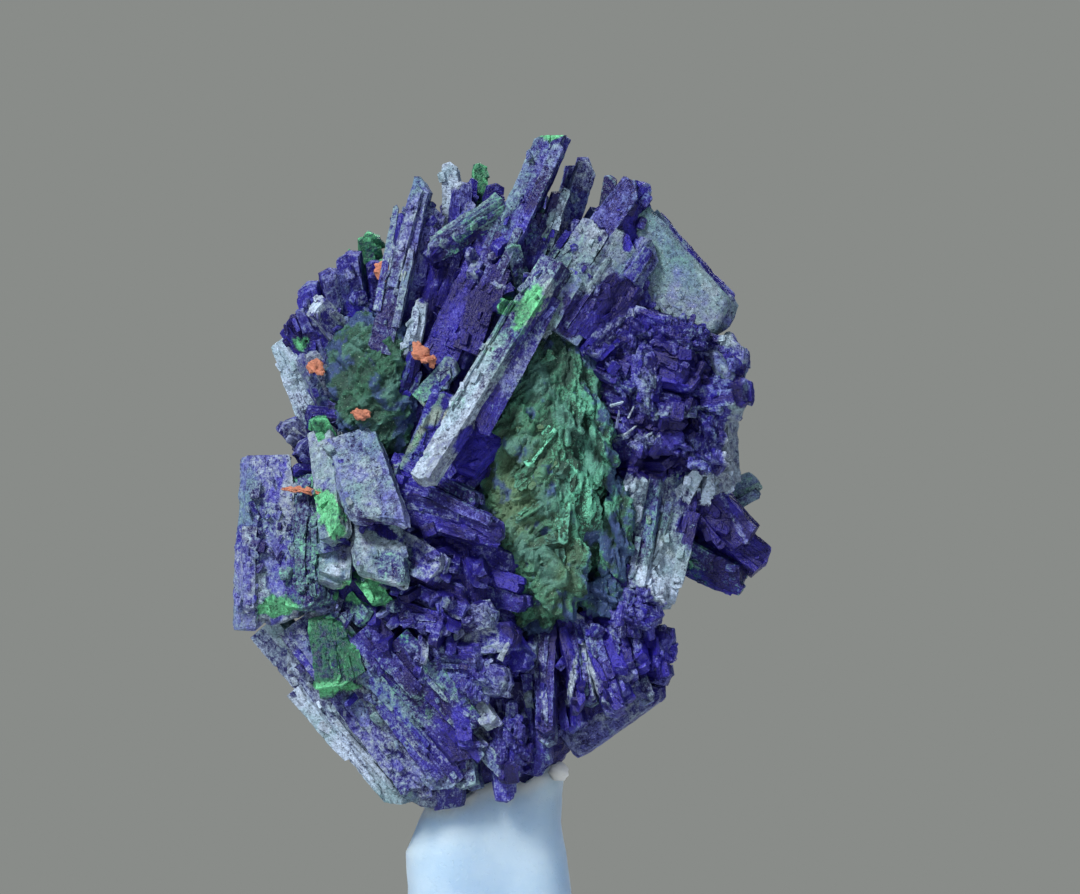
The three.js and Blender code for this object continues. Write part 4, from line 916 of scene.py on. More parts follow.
def druseRows():
    # short crystals standing out of the masses, pointing away from the middle of the burr
    rng = np.random.default_rng(druse["seed"])
    middle = np.array(back["centre"])
    rows = []
    while len(rows) < druse["count"]:
        centre, radii = masses[rng.integers(len(masses))]
        p = unit(rng.normal(size=3))
        root = np.array(centre) + p * np.array(radii) * 0.94
        inner = [(((root - np.array(c)) / np.array(r)) ** 2).sum() < 0.75 for c, r in masses]
        out = unit(unit(root - middle) + unit(p / np.array(radii)) * 0.6 + rng.normal(size=3) * 0.35)
        tip = root + out * rng.uniform(*druse["length"])
        far = middle + (tip - middle) * 1.04
        if any(inner) or nearMalachite(root) or nearMalachite(tip) or not insideOutline(far[0], far[2]):
            continue
        wide = rng.uniform(*druse["width"])
        finish = druse["finishes"][rng.integers(len(druse["finishes"]))]
        rows.append([*root, *tip, wide, wide * rng.uniform(0.4, 0.8), rng.uniform(0, 180),
                     rng.uniform(0.6, 0.95), rng.uniform(0, 0.6), rng.uniform(0, 0.6), finish])
    return rows


def malachitePiece(name, material):
    # a lump roughened by crests, then by grains; the tone's four values say how mint, how olive,
    # how dark and how blue each spot is
    lump = malachite[name]
    seed = lump["seed"]
    form = [lump[key] for key in ("centre", "radii", "rings", "points", "ridges")]
    grids = [lumpGrid(*form, 0.08, lump["lean"])]
    grids += [lumpGrid(centre, radii, *malachiteLobe, lean) for centre, radii, lean in lump["lobes"]]
    whole = joined(grids)
    p = whole["place"]
    # at the left the crests climb to the right, and at the right they stand up
    upright = smoothStep(4.5, 8.5, p[:, 0])
    rising = np.stack([0.45 * (p[:, 0] + p[:, 2]), p[:, 1], 1.1 * (p[:, 2] - p[:, 0])], axis=1)
    standing = np.stack([p[:, 0] * 1.3, p[:, 1], p[:, 2] * 0.45], axis=1)
    crest, small = ((1 - upright) * sharpCrest(rising, scale, k) + upright * sharpCrest(standing, scale, k)
                    for scale, k in ((0.36, seed), (1.2, seed + 5)))
    grain = layeredNoise(p, 2.4, 2, seed + 9) - 0.5
    push = lump["rough"] * (1.5 * (crest - 0.8) + 0.85 * (small - 0.75)) + 0.55 * grain
    whole["place"] = p + whole["normal"] * push[:, None]
    whole["relief"] = (push + 0.12) * 1.2
    x, z = whole["place"][:, 0], whole["place"][:, 2]
    bright, olive, dark = (spotsAt(word, x, z) for word in ("bright", "olive", "dark"))
    # the border is mixed with azurite, so it is darker and bluer
    rim = smoothStep(0.7, 1.05, lumpReach(lump, x, z) + 0.5 * (layeredNoise(p, 0.5, 2, 97) - 0.5))
    tones = [np.clip(0.14 + 1.6 * bright, 0, 1), np.clip(olive, 0, 1) * (1 - rim),
             np.clip(dark + 0.5 * rim, 0, 1), 1 - bright + 1.3 * rim]
    whole["tone"] = np.stack(tones, axis=1) + np.array(lump["tint"])
    piece = makeMesh(name + "_surface", whole, [g["rings"] for g in grids], material, 45)
    place(piece, "malachite", name)


# bright ribs in the malachite: how many, where their middles lie across and up, and their sizes
ribs = {
    "count": 44, "seed": 29, "across": (-1.0, 11.4), "up": (43.0, 69.0),
    "length": (1.2, 4.6), "width": (0.4, 1.2), "lean": 14.0, "mintFrom": 6.6,
    "finishes": ("ribGreen", "ribOlive", "ribGreen", "ribDark"),
}


def ribRows():
    # each rib lies on the front of the core's ellipsoid, half sunk, mint at the right
    rng = np.random.default_rng(ribs["seed"])
    core = malachite["malachite_core"]

    def front(x, z):
        return core["centre"][1] - core["radii"][1] * math.sqrt(max(0.05, 1 - lumpReach(core, x, z) ** 2))

    rows = []
    while len(rows) < ribs["count"]:
        x, z = rng.uniform(*ribs["across"]), rng.uniform(*ribs["up"])
        if lumpReach(core, x, z) ** 2 > 0.86:
            continue
        length, wide = rng.uniform(*ribs["length"]), rng.uniform(*ribs["width"])
        slant = math.radians(rng.normal(6 if x > 6 else 52, ribs["lean"]))
        dx, dz = math.sin(slant) * length / 2, math.cos(slant) * length / 2
        finish = "ribMint"
        if x + rng.normal(0, 1.6) <= ribs["mintFrom"]:
            finish = ribs["finishes"][rng.integers(len(ribs["finishes"]))]
        root = [x + dx, front(x + dx, z + dz) + 0.1, z + dz]
        tip = [x - dx, front(x - dx, z - dz) - 0.25, z - dz]
        rows.append([*root, *tip, wide, wide, rng.normal(0, 25), 0.7, 0.2, 0.3, finish])
    return rows


# reddish clay flakes caught between the crystals: centre and radii
clayFlakes = [
    ((-6.8, -12.2, 69.6), (0.9, 0.5, 0.7)), ((-6.2, -12.4, 69), (0.8, 0.5, 0.35)),
    ((-7.2, -12, 70.3), (0.45, 0.4, 0.5)), ((-5.7, -12.3, 68.8), (0.4, 0.3, 0.6)),
    ((-10.8, -8.4, 77.9), (0.7, 0.5, 0.9)), ((-10.4, -8.6, 77.2), (0.5, 0.4, 0.5)),
    ((-17.4, -9.4, 68.3), (0.8, 0.5, 0.7)), ((-16.9, -9.6, 67.9), (0.5, 0.4, 0.4)),
    ((-12.7, -12, 63.5), (0.9, 0.5, 0.5)), ((-13.3, -11.9, 63.7), (0.5, 0.4, 0.35)),
    ((-19.6, -11.6, 56.1), (1.2, 0.4, 0.25)), ((-18.2, -11.9, 55.9), (0.9, 0.4, 0.3)),
    ((-17, -12.2, 55.8), (0.5, 0.4, 0.25)),
]


def clayPiece(material):
    grids = [lumpGrid(centre, radii, 14, 20, 0, 0.25) for centre, radii in clayFlakes]
    whole = joined(grids)
    bumps = layeredNoise(whole["place"], 1.8, 3, 101) - 0.5
    whole["place"] += whole["normal"] * (0.7 * bumps)[:, None]
    whole["relief"] = bumps * 2
    whole["tone"] = np.ones((len(bumps), 4))
    piece = makeMesh("clay_flakes", whole, [g["rings"] for g in grids], material)
    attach(piece, "root")


# the wax: the outline of its sides by height, then the height of its torn rim across its width
wax = {
    "heights": [7.02, 12.0, 16.0, 19.5, 22.5, 25.0, 27.2, 28.6],
    "left": [-9.2, -8.7, -8.4, -8.6, -7.4, -6.0, -3.6, 1.6],
    "right": [9.2, 8.5, 8.1, 7.8, 7.3, 7.3, 7.6, 7.2],
    "depth": [8.6, 7.8, 7.4, 7.2, 7.0, 6.6, 6.2, 4.6],
    "top": 28.4,
    "squareness": 0.56,  # the power of the sine and cosine that rounds a ring's corners
    "rimX": [-6.0, -4.0, -2.0, -1.2, 0.5, 2.0, 2.6, 4.0, 5.0, 6.0, 7.4],
    "rimZ": [24.2, 24.3, 25.3, 26.3, 27.0, 25.4, 26.5, 26.8, 27.5, 28.2, 28.3],
    "rings": 90,
    "points": 200,
    # centre, radii, rings, points, ridges and bumps of the bead on the rim
    "bead": ((6.9, -5.4, 27.7), (1, 0.9, 0.95), 24, 36, 0, 0.12),
}


def waxPiece(material):
    # rings of a rounded rectangle carried up the outline; the last rings turn in under the specimen
    n, m, base = wax["points"], wax["rings"], wax["heights"][0]
    turn = np.arange(n)[None, :] * (2 * math.pi / n)
    share = np.concatenate([[0], np.linspace(0, 1, m), [1, 1, 1]])[:, None] + 0 * turn
    shrink = np.concatenate([[0.05], np.ones(m), [0.9, 0.6, 0.05]])[:, None]
    across, back = (np.sign(q) * np.abs(q) ** wax["squareness"] for q in (np.cos(turn), np.sin(turn)))
    z = base + share * (wax["top"] - base)
    for _ in range(3):  # the sides depend on the height and the height on the rim, so they are found in turns
        left, right, depth = (np.interp(z, wax["heights"], wax[side]) for side in ("left", "right", "depth"))
        x = (left + right) / 2 + shrink * (right - left) / 2 * across
        y = shrink * depth * back
        rim = np.interp(x, wax["rimX"], wax["rimZ"])
        z = base + share * (rim - base)
    z = z - (shrink < 1) * (share > 0.5) * 0.6 * (1 - shrink)
    body = {"place": np.stack([x, y, z], axis=-1).reshape(-1, 3), "rings": x.shape,
            "normal": np.stack([across + 0 * x, back + 0 * x, 0 * x], axis=-1).reshape(-1, 3),
            "uv": np.stack([turn * 8 + 0 * x, z], axis=-1).reshape(-1, 2)}
    nearRim = smoothStep(0.9, 1.0, share.reshape(-1))
    low = smoothStep(0.0, 0.08, share.reshape(-1))
    soft = layeredNoise(body["place"], 0.16, 2, 111) - 0.5
    torn = layeredNoise(body["place"], 0.9, 3, 113) - 0.5
    push = (0.7 * soft + 0.5 * nearRim * torn - 0.12) * low
    body["place"] = body["place"] + body["normal"] * push[:, None]
    body["place"][:, 2] += nearRim * torn * 1.2 * low
    grids = [body, lumpGrid(*wax["bead"])]
    whole = joined(grids)
    beadPoints = len(grids[1]["place"])
    cream = np.concatenate([nearRim, np.ones(beadPoints)])
    whole["relief"] = np.concatenate([soft, np.zeros(beadPoints)]) * 2
    whole["tone"] = np.stack([cream, 0 * cream, 0 * cream, 0 * cream + 1], axis=1)
    piece = makeMesh("wax_seat_surface", whole, [g["rings"] for g in grids], material, 60)
    place(piece, "mounting_wax", "wax_seat")


foot = {
    "width": 44.0, "depth": 38.0, "height": 7.0, "rounding": 5.8, "bevel": 0.8, "points": 160,
    "insets": [19.0, 16.0, 8.0],  # how far in the rings of the flat top and bottom lie
    "middle": 19.5,
}


def footPiece(material):
    # a rounded rectangle carried up a bevelled edge; a point's place on it is the corner circle's
    # centre plus the circle's radius in the direction of its turn
    n, bevel, flat = foot["points"], foot["bevel"], foot["insets"]
    turn = (np.arange(n) + 0.5)[None, :] * (2 * math.pi / n)
    arc = np.linspace(0, math.pi / 2, 7)
    steep, gentle = bevel * (1 - np.sin(arc)), bevel * (1 - np.cos(arc))
    inset = np.concatenate([flat, steep, gentle, flat[::-1]])
    level = np.concatenate([[0, 0, 0], gentle, foot["height"] - steep, [foot["height"]] * 3])
    halfX, halfY = foot["width"] / 2 - foot["rounding"], foot["depth"] / 2 - foot["rounding"]
    keep = np.clip(1 - (inset - bevel) / foot["middle"], 0, 1)[:, None]
    radius = np.maximum(foot["rounding"] - inset, 0.3)[:, None]
    x = np.sign(np.cos(turn)) * halfX * keep + radius * np.cos(turn)
    y = np.sign(np.sin(turn)) * halfY * keep + radius * np.sin(turn)
    z = level[:, None] + 0 * x
    spot = np.stack([x, y, z], axis=-1).reshape(-1, 3)
    whole = {"place": spot, "uv": spot[:, :2], "relief": np.zeros(len(spot)), "tone": np.ones((len(spot), 4))}
    piece = makeMesh("stand_foot_clear", whole, [x.shape], material, 35)
    place(piece, "clear_foot", "stand_foot")


def feed(tree, node, inputs):
    # every input gets its link or its fixed value
    for key, value in inputs.items():
        if isinstance(value, bpy.types.NodeSocket):
            tree.links.new(value, node.inputs[key])
        else:
            node.inputs[key].default_value = value


def put(tree, kind, inputs=None, **settings):
    # a node with its settings and its inputs
    node = tree.nodes.new(kind)
    for key, value in settings.items():
        setattr(node, key, value)
    feed(tree, node, inputs or {})
    return node


def calc(tree, operation, a, b=0.0, clamp=False):
    return put(tree, "ShaderNodeMath", {0: a, 1: b}, operation=operation, use_clamp=clamp).outputs[0]


def total(tree, terms, clamp=False):
    # the sum of every value times its factor; a bare value counts once
    sums = 0.0
    for k, term in enumerate(terms):
        value, factor = term if isinstance(term, tuple) else (term, 1.0)
        node = put(tree, "ShaderNodeMath", {0: value, 1: factor, 2: sums}, operation="MULTIPLY_ADD",
                   use_clamp=clamp and k == len(terms) - 1)
        sums = node.outputs[0]
    return sums


def scaled(tree, vector, factor):
    return put(tree, "ShaderNodeVectorMath", {0: vector, 3: factor}, operation="SCALE").outputs[0]


def blendColour(tree, share, a, b):
    return put(tree, "ShaderNodeMix", {0: share, 6: a, 7: b}, data_type="RGBA", clamp_factor=True).outputs[2]


def ramp(tree, value, low, high):
    # 0 below the low value and 1 above the high one, with a smooth change between them
    node = put(tree, "ShaderNodeMapRange", {0: value, 1: low, 2: high}, interpolation_type="SMOOTHSTEP")
    return node.outputs[0]


def between(tree, value, low, high):
    # a value from 0 to 1 carried to the range from low to high
    return put(tree, "ShaderNodeMapRange", {0: value, 3: low, 4: high}).outputs[0]


def noise(tree, vector, scale, detail=2.0, rough=0.55):
    settings = {"Vector": vector, "Scale": scale, "Detail": detail, "Roughness": rough}
    return put(tree, "ShaderNodeTexNoise", settings).outputs[0]


socketKinds = {"Vector": "Vector", "Map": "Vector", "Normal": "Vector",
               "Under": "Color", "Dust": "Color", "Color": "Color"}


def newGroup(name, inputs, outputs):
    # a group whose sockets are numbers, apart from those listed above
    tree = bpy.data.node_groups.new(name, "ShaderNodeTree")
    for way, labels in (("INPUT", inputs), ("OUTPUT", outputs)):
        for label in labels:
            kind = "NodeSocket" + socketKinds.get(label, "Float")
            tree.interface.new_socket(name=label, in_out=way, socket_type=kind)
    return tree, tree.nodes.new("NodeGroupInput").outputs, tree.nodes.new("NodeGroupOutput").inputs


# the grain's noises, from patches to specks, for millimetres: scale, detail and roughness
grainNoises = {
    "Patches": (0.33, 3, 0.55),
    "Blotches": (1.9, 3, 0.62),
    "Specks": (5.5, 2, 0.7),
    "Pits": (3.1, 2, 0.6),
    "Sparks": (6.3, 1, 0.55),
}
# pits and sparks are only where their noise is highest; the sparks place the painted glints
grainRamps = {"Pits": (0.58, 0.68), "Sparks": (0.68, 0.76)}


def grainGroup():
    tree, given, out = newGroup("stoneGrain", ("Vector", "Size"), grainNoises)
    vector = scaled(tree, given["Vector"], given["Size"])
    for label, settings in grainNoises.items():
        value = noise(tree, vector, *settings)
        if label in grainRamps:
            value = ramp(tree, value, *grainRamps[label])
        tree.links.new(value, out[label])
    return tree


def streakGroup():
    # fine lines drawn out along a blade, from its own map in millimetres
    tree, given, out = newGroup("bladeStreaks", ("Map",), ("Lines",))
    drawn = put(tree, "ShaderNodeMapping", {"Vector": given["Map"], "Scale": (6.5, 0.45, 1)}).outputs[0]
    tree.links.new(noise(tree, drawn, 1.0), out["Lines"])
    return tree


def dustAndLightGroup():
    # dust over a colour: more where the amount and the relief are high, broken up by the grain; the relief's
    # share is a painted highlight on edges and crests and painted shade in grooves and pits
    labels = ("Under", "Dust", "Amount", "Relief", "Breakup", "Contrast")
    tree, given, out = newGroup("dustAndPaintedLight", labels, ("Color", "Mask"))
    broken = total(tree, [given["Amount"], (given["Relief"], 0.3), given["Breakup"]])
    stretched = calc(tree, "MULTIPLY", calc(tree, "SUBTRACT", broken, 0.5), given["Contrast"])
    mask = calc(tree, "ADD", stretched, 0.5, True)
    tree.links.new(mask, out["Mask"])
    tree.links.new(blendColour(tree, mask, given["Under"], given["Dust"]), out["Color"])
    return tree


def roughNormalGroup():
    # a bumped normal from specks, lines and pits; the depth is in metres
    tree, given, out = newGroup("roughNormal", ("Specks", "Lines", "Pits", "Depth"), ("Normal",))
    height = total(tree, [given["Specks"], (given["Lines"], 0.7), (given["Pits"], -0.8)])
    bump = put(tree, "ShaderNodeBump", {"Strength": 0.8, "Distance": given["Depth"], "Height": height})
    tree.links.new(bump.outputs[0], out["Normal"])
    return tree


groups = {"grain": grainGroup(), "streaks": streakGroup(), "dust": dustAndLightGroup(), "normal": roughNormalGroup()}


def useGroup(tree, word, inputs):
    return put(tree, "ShaderNodeGroup", inputs, node_tree=groups[word]).outputs


def newMaterial(name, grainSize):
    # a material with its shader and its stone grain
    material = bpy.data.materials.new(name)
    material.use_nodes = True
    tree = material.node_tree
    return material, tree, tree.nodes["Principled BSDF"], grainOf(tree, grainSize)


def inMillimetres(tree):
    return scaled(tree, put(tree, "ShaderNodeTexCoord").outputs["Object"], 1 / mm)


def grainOf(tree, size):
    return useGroup(tree, "grain", {"Vector": inMillimetres(tree), "Size": size})


def bumped(tree, specks, lines, pits, depth):
    inputs = {"Specks": specks, "Lines": lines, "Pits": pits, "Depth": depth}
    return useGroup(tree, "normal", inputs)["Normal"]


def toneParts(tree):
    # the four values of a piece's tone, then its relief
    tone = put(tree, "ShaderNodeAttribute", attribute_name="tone")
    parts = put(tree, "ShaderNodeSeparateColor", {0: tone.outputs["Color"]}).outputs
    relief = put(tree, "ShaderNodeAttribute", attribute_name="relief")
    return parts[0], parts[1], parts[2], tone.outputs["Alpha"], relief.outputs["Fac"]


def centred(tree, sockets, labels):
    # noises that run from 0 to 1 turned into ones about 0
    return [calc(tree, "SUBTRACT", sockets[label], 0.5) for label in labels]


azuriteColours = {
    "deep": (0.006, 0.004, 0.085, 1),
    "vivid": (0.024, 0.018, 0.33, 1),
    "blueDust": (0.105, 0.122, 0.38, 1),
    "greyDust": (0.22, 0.272, 0.34, 1),
    "paleDust": (0.42, 0.53, 0.7, 1),
    "tealDust": (0.105, 0.22, 0.225, 1),
    "creamDust": (0.36, 0.4, 0.33, 1),
    "darkGreen": (0.015, 0.1, 0.055, 1),
    "mint": (0.13, 0.52, 0.25, 1),
    "paintedGlint": (0.7, 0.74, 0.82, 1),
}
azuriteLook = {
    "broadGrain": 0.47,
    "dustContrast": 1.6,
    "greenRange": (0.5, 0.95),
    "creamRange": (0.72, 0.95),
    "roughness": (0.4, 0.88),  # where it is bare and where it is dusty
    "bumpDepth": 0.00016,
    "refraction": 1.6,
    "specular": 0.28,
}


def azuriteMaterial():
    material, tree, shader, grain = newMaterial("azurite_dusted", 1.0)
    colours, look = azuriteColours, azuriteLook
    broad = grainOf(tree, look["broadGrain"])
    uvMap = put(tree, "ShaderNodeUVMap", uv_map="streaks").outputs[0]
    streaks = useGroup(tree, "streaks", {"Map": scaled(tree, uvMap, uvScale)})
    dust, green, vivid, pale, relief = toneParts(tree)
    patches, blotches, specks = centred(tree, grain, ("Patches", "Blotches", "Specks"))
    areas, clouds = centred(tree, broad, ("Patches", "Blotches"))
    lines, = centred(tree, streaks, ("Lines",))

    # the stone itself, from nearly black to vivid blue
    vividShare = total(tree, [vivid, (patches, 1.6), lines], True)
    under = blendColour(tree, vividShare, colours["deep"], colours["vivid"])

    # the dust runs from blue over grey to pale, and turns teal or cream in places
    paleness = total(tree, [(pale, 2), (blotches, 1.8), (clouds, 1.8)])
    greyShare, paleShare = (calc(tree, "SUBTRACT", paleness, start, True) for start in (0, 1))
    dustColour = blendColour(tree, greyShare, colours["blueDust"], colours["greyDust"])
    dustColour = blendColour(tree, paleShare, dustColour, colours["paleDust"])
    tealShare = total(tree, [(green, 1.5), (areas, 2.4), (clouds, 1.2)], True)
    dustColour = blendColour(tree, tealShare, dustColour, colours["tealDust"])
    creamNoise = noise(tree, inMillimetres(tree), 0.21, 1.0)
    creamShare = ramp(tree, total(tree, [(green, 0.5), creamNoise]), *look["creamRange"])
    creamShare = calc(tree, "MULTIPLY", creamShare, ramp(tree, pale, 0.3, 0.7))
    dustColour = blendColour(tree, creamShare, dustColour, colours["creamDust"])

    # the thicker the dust, the less it is broken up
    pits = grain["Pits"]
    breakup = total(tree, [(blotches, 1.7), (patches, 1.2), (lines, 0.7), (specks, 1.3), (pits, -0.3)])
    thinning = put(tree, "ShaderNodeMapRange", {0: dust, 1: 0.3, 2: 1.0, 3: 1.15, 4: 0.45}).outputs[0]
    dusted = useGroup(tree, "dust", {
        "Under": under, "Dust": dustColour, "Amount": dust, "Relief": relief,
        "Breakup": calc(tree, "MULTIPLY", breakup, thinning), "Contrast": look["dustContrast"]})

    # a green crust where the finish is green, mint where it is pale, and lighter where it is raised, a
    # painted highlight
    bright = total(tree, [pale, (blotches, 1.6), (relief, 0.6), (patches, 1.2)], True)
    leaf = blendColour(tree, bright, colours["darkGreen"], colours["mint"])
    greenMask = ramp(tree, total(tree, [green, (blotches, 0.9), (patches, 0.9)]), *look["greenRange"])
    colour = blendColour(tree, greenMask, dusted["Color"], leaf)
    # painted glints: pale specks where the sparks noise peaks on dusty parts
    glintMask = calc(tree, "MULTIPLY", grain["Sparks"], calc(tree, "MULTIPLY", dust, 0.6))
    colour = blendColour(tree, glintMask, colour, colours["paintedGlint"])

    # fine mottling: every spot a little lighter or darker than its neighbours, and darker in the pits,
    # painted shade
    mottle = total(tree, [(specks, 1.5), (blotches, 1.1), (pits, -0.3)])
    feed(tree, shader, {
        "Base Color": scaled(tree, colour, calc(tree, "ADD", mottle, 1.0)),
        "Roughness": between(tree, dusted["Mask"], *look["roughness"]),
        "Normal": bumped(tree, grain["Specks"], streaks["Lines"], pits, look["bumpDepth"]),
        "IOR": look["refraction"], "Specular IOR Level": look["specular"]})
    return material


malachiteColours = {
    "dark": (0.01, 0.045, 0.035, 1),
    "middle": (0.026, 0.135, 0.074, 1),
    "mint": (0.16, 0.6, 0.4, 1),
    "olive": (0.115, 0.21, 0.11, 1),
    "blue": (0.03, 0.06, 0.2, 1),
    "dust": (0.075, 0.2, 0.18, 1),
    "paintedGlint": (0.5, 0.7, 0.55, 1),
}
malachiteLook = {
    "grain": 1.2,
    "broadGrain": 0.7,
    "lift": 0.2,  # how light the dark green is
    "mintRange": (0.32, 0.78),
    "dustRange": (0.54, 0.74),
    "blueRange": (0.7, 0.82),
    "roughness": (0.45, 0.8),
    "bumpDepth": 0.00025,
}


def malachiteMaterial():
    # dark green that lightens with the relief, a painted highlight on the crests and painted shade in the
    # hollows, then mint, olive, dark, dust and blue laid over it, and painted glints
    material, tree, shader, grain = newMaterial("malachite_grainy", malachiteLook["grain"])
    colours, look = malachiteColours, malachiteLook
    mint, olive, dark, blue, relief = toneParts(tree)
    blotches, specks = centred(tree, grain, ("Blotches", "Specks"))
    raised = total(tree, [(relief, 1.1), (blotches, 1.4), (specks, 1.7)])
    lift = calc(tree, "ADD", raised, look["lift"], True)
    colour = blendColour(tree, lift, colours["dark"], colours["middle"])
    dustAmount = total(tree, [grainOf(tree, look["broadGrain"])["Patches"], (relief, 0.2)])
    blueness = total(tree, [grain["Patches"], (blue, 0.14)])
    layers = [
        # mint shows only where the relief paints the green lighter, so it is partly a painted highlight
        (calc(tree, "MULTIPLY", mint, ramp(tree, lift, *look["mintRange"]), True), 1, "mint"),
        (olive, 0.75, "olive"),
        (dark, 0.65, "dark"),
        (ramp(tree, dustAmount, *look["dustRange"]), 0.7, "dust"),
        (ramp(tree, blueness, *look["blueRange"]), 0.85, "blue"),
        # painted glints where the sparks noise peaks
        (grain["Sparks"], 0.5, "paintedGlint"),
    ]
    for share, strength, word in layers:
        colour = blendColour(tree, calc(tree, "MULTIPLY", share, strength), colour, colours[word])
    normal = bumped(tree, grain["Specks"], grain["Blotches"], grain["Pits"], look["bumpDepth"])
    roughness = between(tree, grain["Specks"], *look["roughness"])
    feed(tree, shader, {"Base Color": colour, "Roughness": roughness, "Normal": normal})
    return material


clayColours = {"dark": (0.42, 0.13, 0.07, 1), "light": (0.68, 0.3, 0.2, 1), "pit": (0.2, 0.08, 0.08, 1)}


def clayMaterial():
    material, tree, shader, grain = newMaterial("clay_red", 2.0)
    colour = blendColour(tree, grain["Blotches"], clayColours["dark"], clayColours["light"])
    # darker in the pits of the bump: painted shade
    colour = blendColour(tree, calc(tree, "MULTIPLY", grain["Pits"], 0.6), colour, clayColours["pit"])
    normal = bumped(tree, grain["Specks"], grain["Blotches"], grain["Pits"], 0.0002)
    feed(tree, shader, {"Base Color": colour, "Roughness": 0.8, "Normal": normal})
    return material


waxLook = {
    "blue": (0.34, 0.48, 0.63, 1),
    "white": (0.4, 0.53, 0.66, 1),
    "cream": (0.66, 0.7, 0.66, 1),
    "roughness": (0.35, 0.6),
    "spread": (1.0, 1.1, 1.3),  # how far red, green and blue light travel inside, times the depth
    "depth": 0.009,
    "bumpDepth": 0.00006,
}


def waxMaterial():
    # milky wax: pale blue with whiter clouds, and cream where its rim is torn
    material, tree, shader, grain = newMaterial("wax_milky", 0.5)
    cream, *_ = toneParts(tree)
    colour = blendColour(tree, ramp(tree, grain["Patches"], 0.35, 0.65), waxLook["blue"], waxLook["white"])
    colour = blendColour(tree, calc(tree, "MULTIPLY", cream, 0.8), colour, waxLook["cream"])
    feed(tree, shader, {
        "Base Color": colour, "Roughness": between(tree, grain["Blotches"], *waxLook["roughness"]),
        "Normal": bumped(tree, grain["Specks"], grain["Blotches"], grain["Pits"], waxLook["bumpDepth"]),
        "Subsurface Weight": 1.0, "Subsurface Radius": waxLook["spread"],
        "Subsurface Scale": waxLook["depth"]})
    return material


footLook = {
    "colour": (0.7, 0.75, 0.77, 1),
    "roughness": (0.06, 0.2),
    "refraction": 1.49,
    "clearness": 0.4,
    "bumpDepth": 0.00001,
}


def footMaterial():
    # clear plastic, a little milky and hazed by scratches and fingerprints
    material, tree, shader, grain = newMaterial("clear_plastic", 0.4)
    feed(tree, shader, {
        "Base Color": footLook["colour"],
        "Roughness": between(tree, grain["Blotches"], *footLook["roughness"]),
        "Normal": bumped(tree, grain["Patches"], grain["Blotches"], grain["Sparks"], footLook["bumpDepth"]),
        "IOR": footLook["refraction"], "Transmission Weight": footLook["clearness"]})
    return material


def floorMaterial():
    material, tree, shader, grain = newMaterial("floor_pale", 0.1)
    colour = blendColour(tree, grain["Patches"], studio["floorDark"], studio["floorLight"])
    feed(tree, shader, {"Base Color": colour, "Roughness": 0.9})
    return material


studio = {
    "floorRadius": 0.25,
    "floorSides": 96,
    "floorThickness": 0.004,
    "floorDark": (0.5, 0.51, 0.5, 1),
    "floorLight": (0.56, 0.57, 0.56, 1),
    "background": (0.25, 0.262, 0.25, 1),
    "ambient": (0.066, 0.078, 0.115, 1),
    "aim": (0.005, -0.008, 0.0603),
    "distance": 0.8,
    "seenWidth": 0.108,
    "lights": [
        # name, place in metres, size, power in watts, colour
        ("key", (-0.42, -0.6, 0.72), 0.2, 14, (1, 0.985, 0.96)),
        ("fill", (0.75, -0.75, 0.35), 0.6, 2, (0.9, 0.95, 1)),
        ("rim", (0.25, 0.6, 0.8), 0.3, 6, (0.95, 0.97, 1)),
        ("low", (-0.25, -0.8, 0.06), 0.4, 1.2, (0.95, 0.97, 1)),
    ],
}


def makeFloor(material):
    # a flat disc: its points lie on two circles round the origin
    n = studio["floorSides"]
    turn = np.arange(n) * (2 * math.pi / n)
    ring = np.stack([np.cos(turn), np.sin(turn), 0 * turn], axis=1) * studio["floorRadius"]
    points = np.concatenate([ring, ring - (0, 0, studio["floorThickness"])])
    side = [(i, i + n, (i + 1) % n + n, (i + 1) % n) for i in range(n)]
    mesh = bpy.data.meshes.new("floor")
    mesh.from_pydata(points.tolist(), [], [tuple(range(n)), tuple(range(2 * n - 1, n - 1, -1)), *side])
    mesh.materials.append(material)
    floor = bpy.data.objects.new("floor", mesh)
    bpy.context.scene.collection.objects.link(floor)


def makeStudio():
    scene = bpy.context.scene
    aim = Vector(studio["aim"])
    for name, spot, size, power, colour in studio["lights"]:
        light = bpy.data.lights.new(name, "AREA")
        light.size, light.energy, light.color = size, power, colour
        lamp = bpy.data.objects.new(name, light)
        lamp.location = spot
        lamp.rotation_euler = (aim - Vector(spot)).to_track_quat("-Z", "Y").to_euler()
        scene.collection.objects.link(lamp)
    world = bpy.data.worlds.new("studio")
    world.use_nodes = True
    tree = world.node_tree
    seen = put(tree, "ShaderNodeLightPath").outputs["Is Camera Ray"]
    colour = blendColour(tree, seen, studio["ambient"], studio["background"])
    feed(tree, tree.nodes["Background"], {0: colour})
    scene.world = world
    lens = bpy.data.cameras.new("camera")
    lens.sensor_width = 36.0
    lens.lens = lens.sensor_width * studio["distance"] / studio["seenWidth"]
    lens.clip_start = 0.01
    camera = bpy.data.objects.new("camera", lens)
    camera.location = (aim.x, aim.y - studio["distance"], aim.z)
    camera.rotation_euler = (math.radians(90), 0, 0)
    scene.collection.objects.link(camera)
    scene.camera = camera


azurite = azuriteMaterial()
green = malachiteMaterial()
makeStudio()
makeFloor(floorMaterial())
print("studio ready")

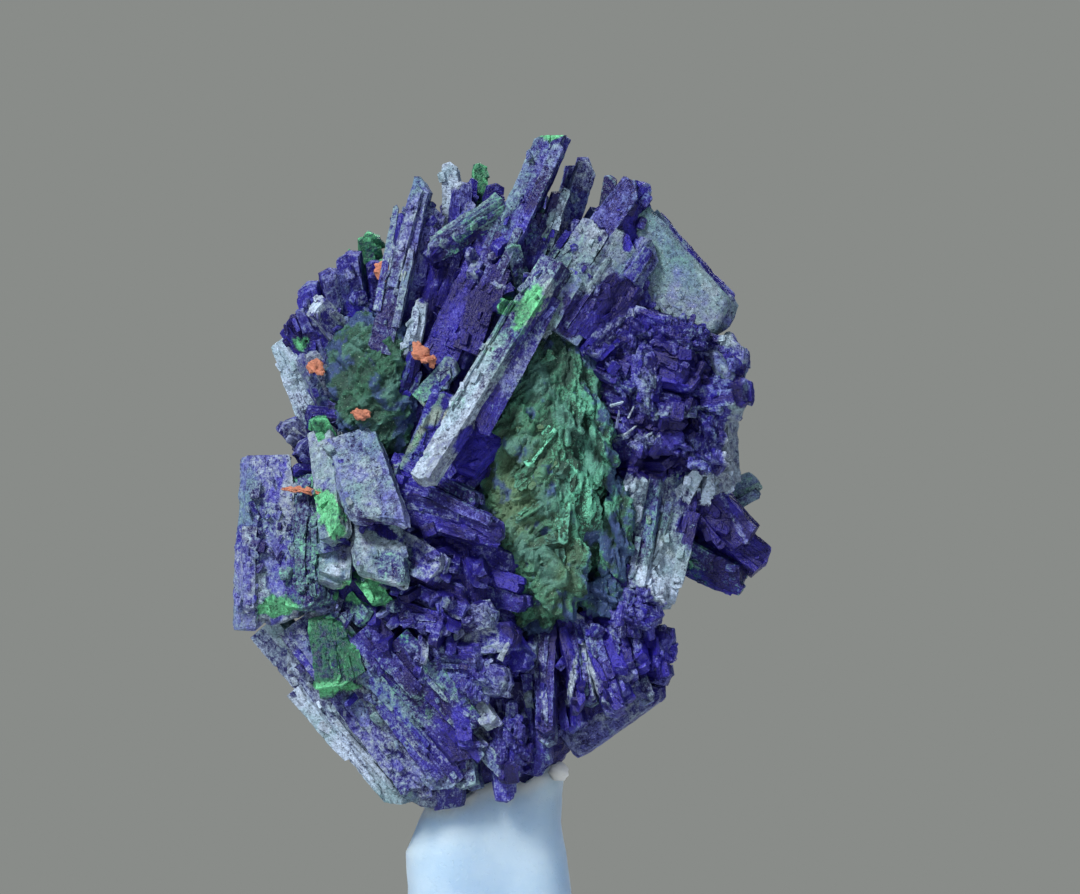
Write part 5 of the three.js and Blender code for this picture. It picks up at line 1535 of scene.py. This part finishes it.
# each region: its piece, the seed of its random draws, mesh spacing in millimetres, number of companions
# beside a blade, how far they spread, how rough the surface is, and chips to a square millimetre
regions = {
    "upperFan": ("azurite_upper_fan", 1, 0.27, 3, 0.5, 0.8, 0.3),
    "centre": ("azurite_long_blade", 2, 0.2, 2, 0.25, 0.7, 0.15),
    "leftTop": ("azurite_left_tufts", 3, 0.27, 2, 1.4, 0.9, 0.6),
    "leftBlock": ("azurite_left_block", 4, 0.25, 2, 0.3, 1.2, 0.8),
    "leftPlates": ("azurite_grey_plates", 5, 0.22, 0, 0.3, 0.55, 0.12),
    "rightPlates": ("azurite_side_plates", 6, 0.26, 2, 0.7, 0.8, 0.12),
    "lowerLeft": ("azurite_lower_slabs", 7, 0.27, 4, 0.3, 1.1, 0.25),
    "bottom": ("azurite_bottom_plates", 8, 0.28, 3, 0.5, 1.0, 0.15),
    "roughMass": ("azurite_rough_mass", 9, 0.28, 6, 1.3, 1.3, 0.25),
    "right": ("azurite_right_blades", 15, 0.27, 3, 0.8, 0.9, 0.4),
    "comb": ("azurite_comb", 10, 0.25, 5, 0.9, 1.0, 0.25),
    "facets": ("azurite_facets", 11, 0.16, 0, 0, 0.4, 0),
    "smooth": ("azurite_smooth_plates", 16, 0.24, 0, 0, 0.35, 0.12),
    "back": ("azurite_back_blades", 12, 0.5, 5, 0.8, 1.0, 0.2),
    "druse": ("azurite_small_crystals", 13, 0.46, 0, 0, 0.8, 0),
    "ribs": ("malachite_ribs", 14, 0.22, 1, 1.6, 1.6, 1.5),
}
chipLean = {"roughMass": 0.4}  # how far chips lean away from their blade; 0.3 elsewhere
chipSizes = {"ribs": (0.25, 0.9)}  # shortest and longest chip; (0.35, 1.5) elsewhere


def makeRegion(region, rows, *settings):
    words = ("seed", "spacing", "companions", "spread", "rugged", "chips")
    look = dict(zip(words, regions[region][1:]))
    look.update(lean=chipLean.get(region, 0.3), chipSizes=chipSizes.get(region, (0.35, 1.5)))
    crystalPiece(regions[region][0], rows, look, *settings)


for region, rows in frontCrystals.items():
    makeRegion(region, rows, azurite)
makeRegion("facets", facets, azurite)
makeRegion("smooth", smoothPlates, azurite)
makeRegion("back", backRows(), azurite, True)
makeRegion("druse", druseRows(), azurite)
lobePiece(azurite)
massPiece(azurite)
print("azurite done")
for name in malachite:
    malachitePiece(name, green)
makeRegion("ribs", ribRows(), green, None, "malachite", "malachite_core")
clayPiece(clayMaterial())
print("malachite and clay done")
waxPiece(waxMaterial())
footPiece(footMaterial())
print("stand done")
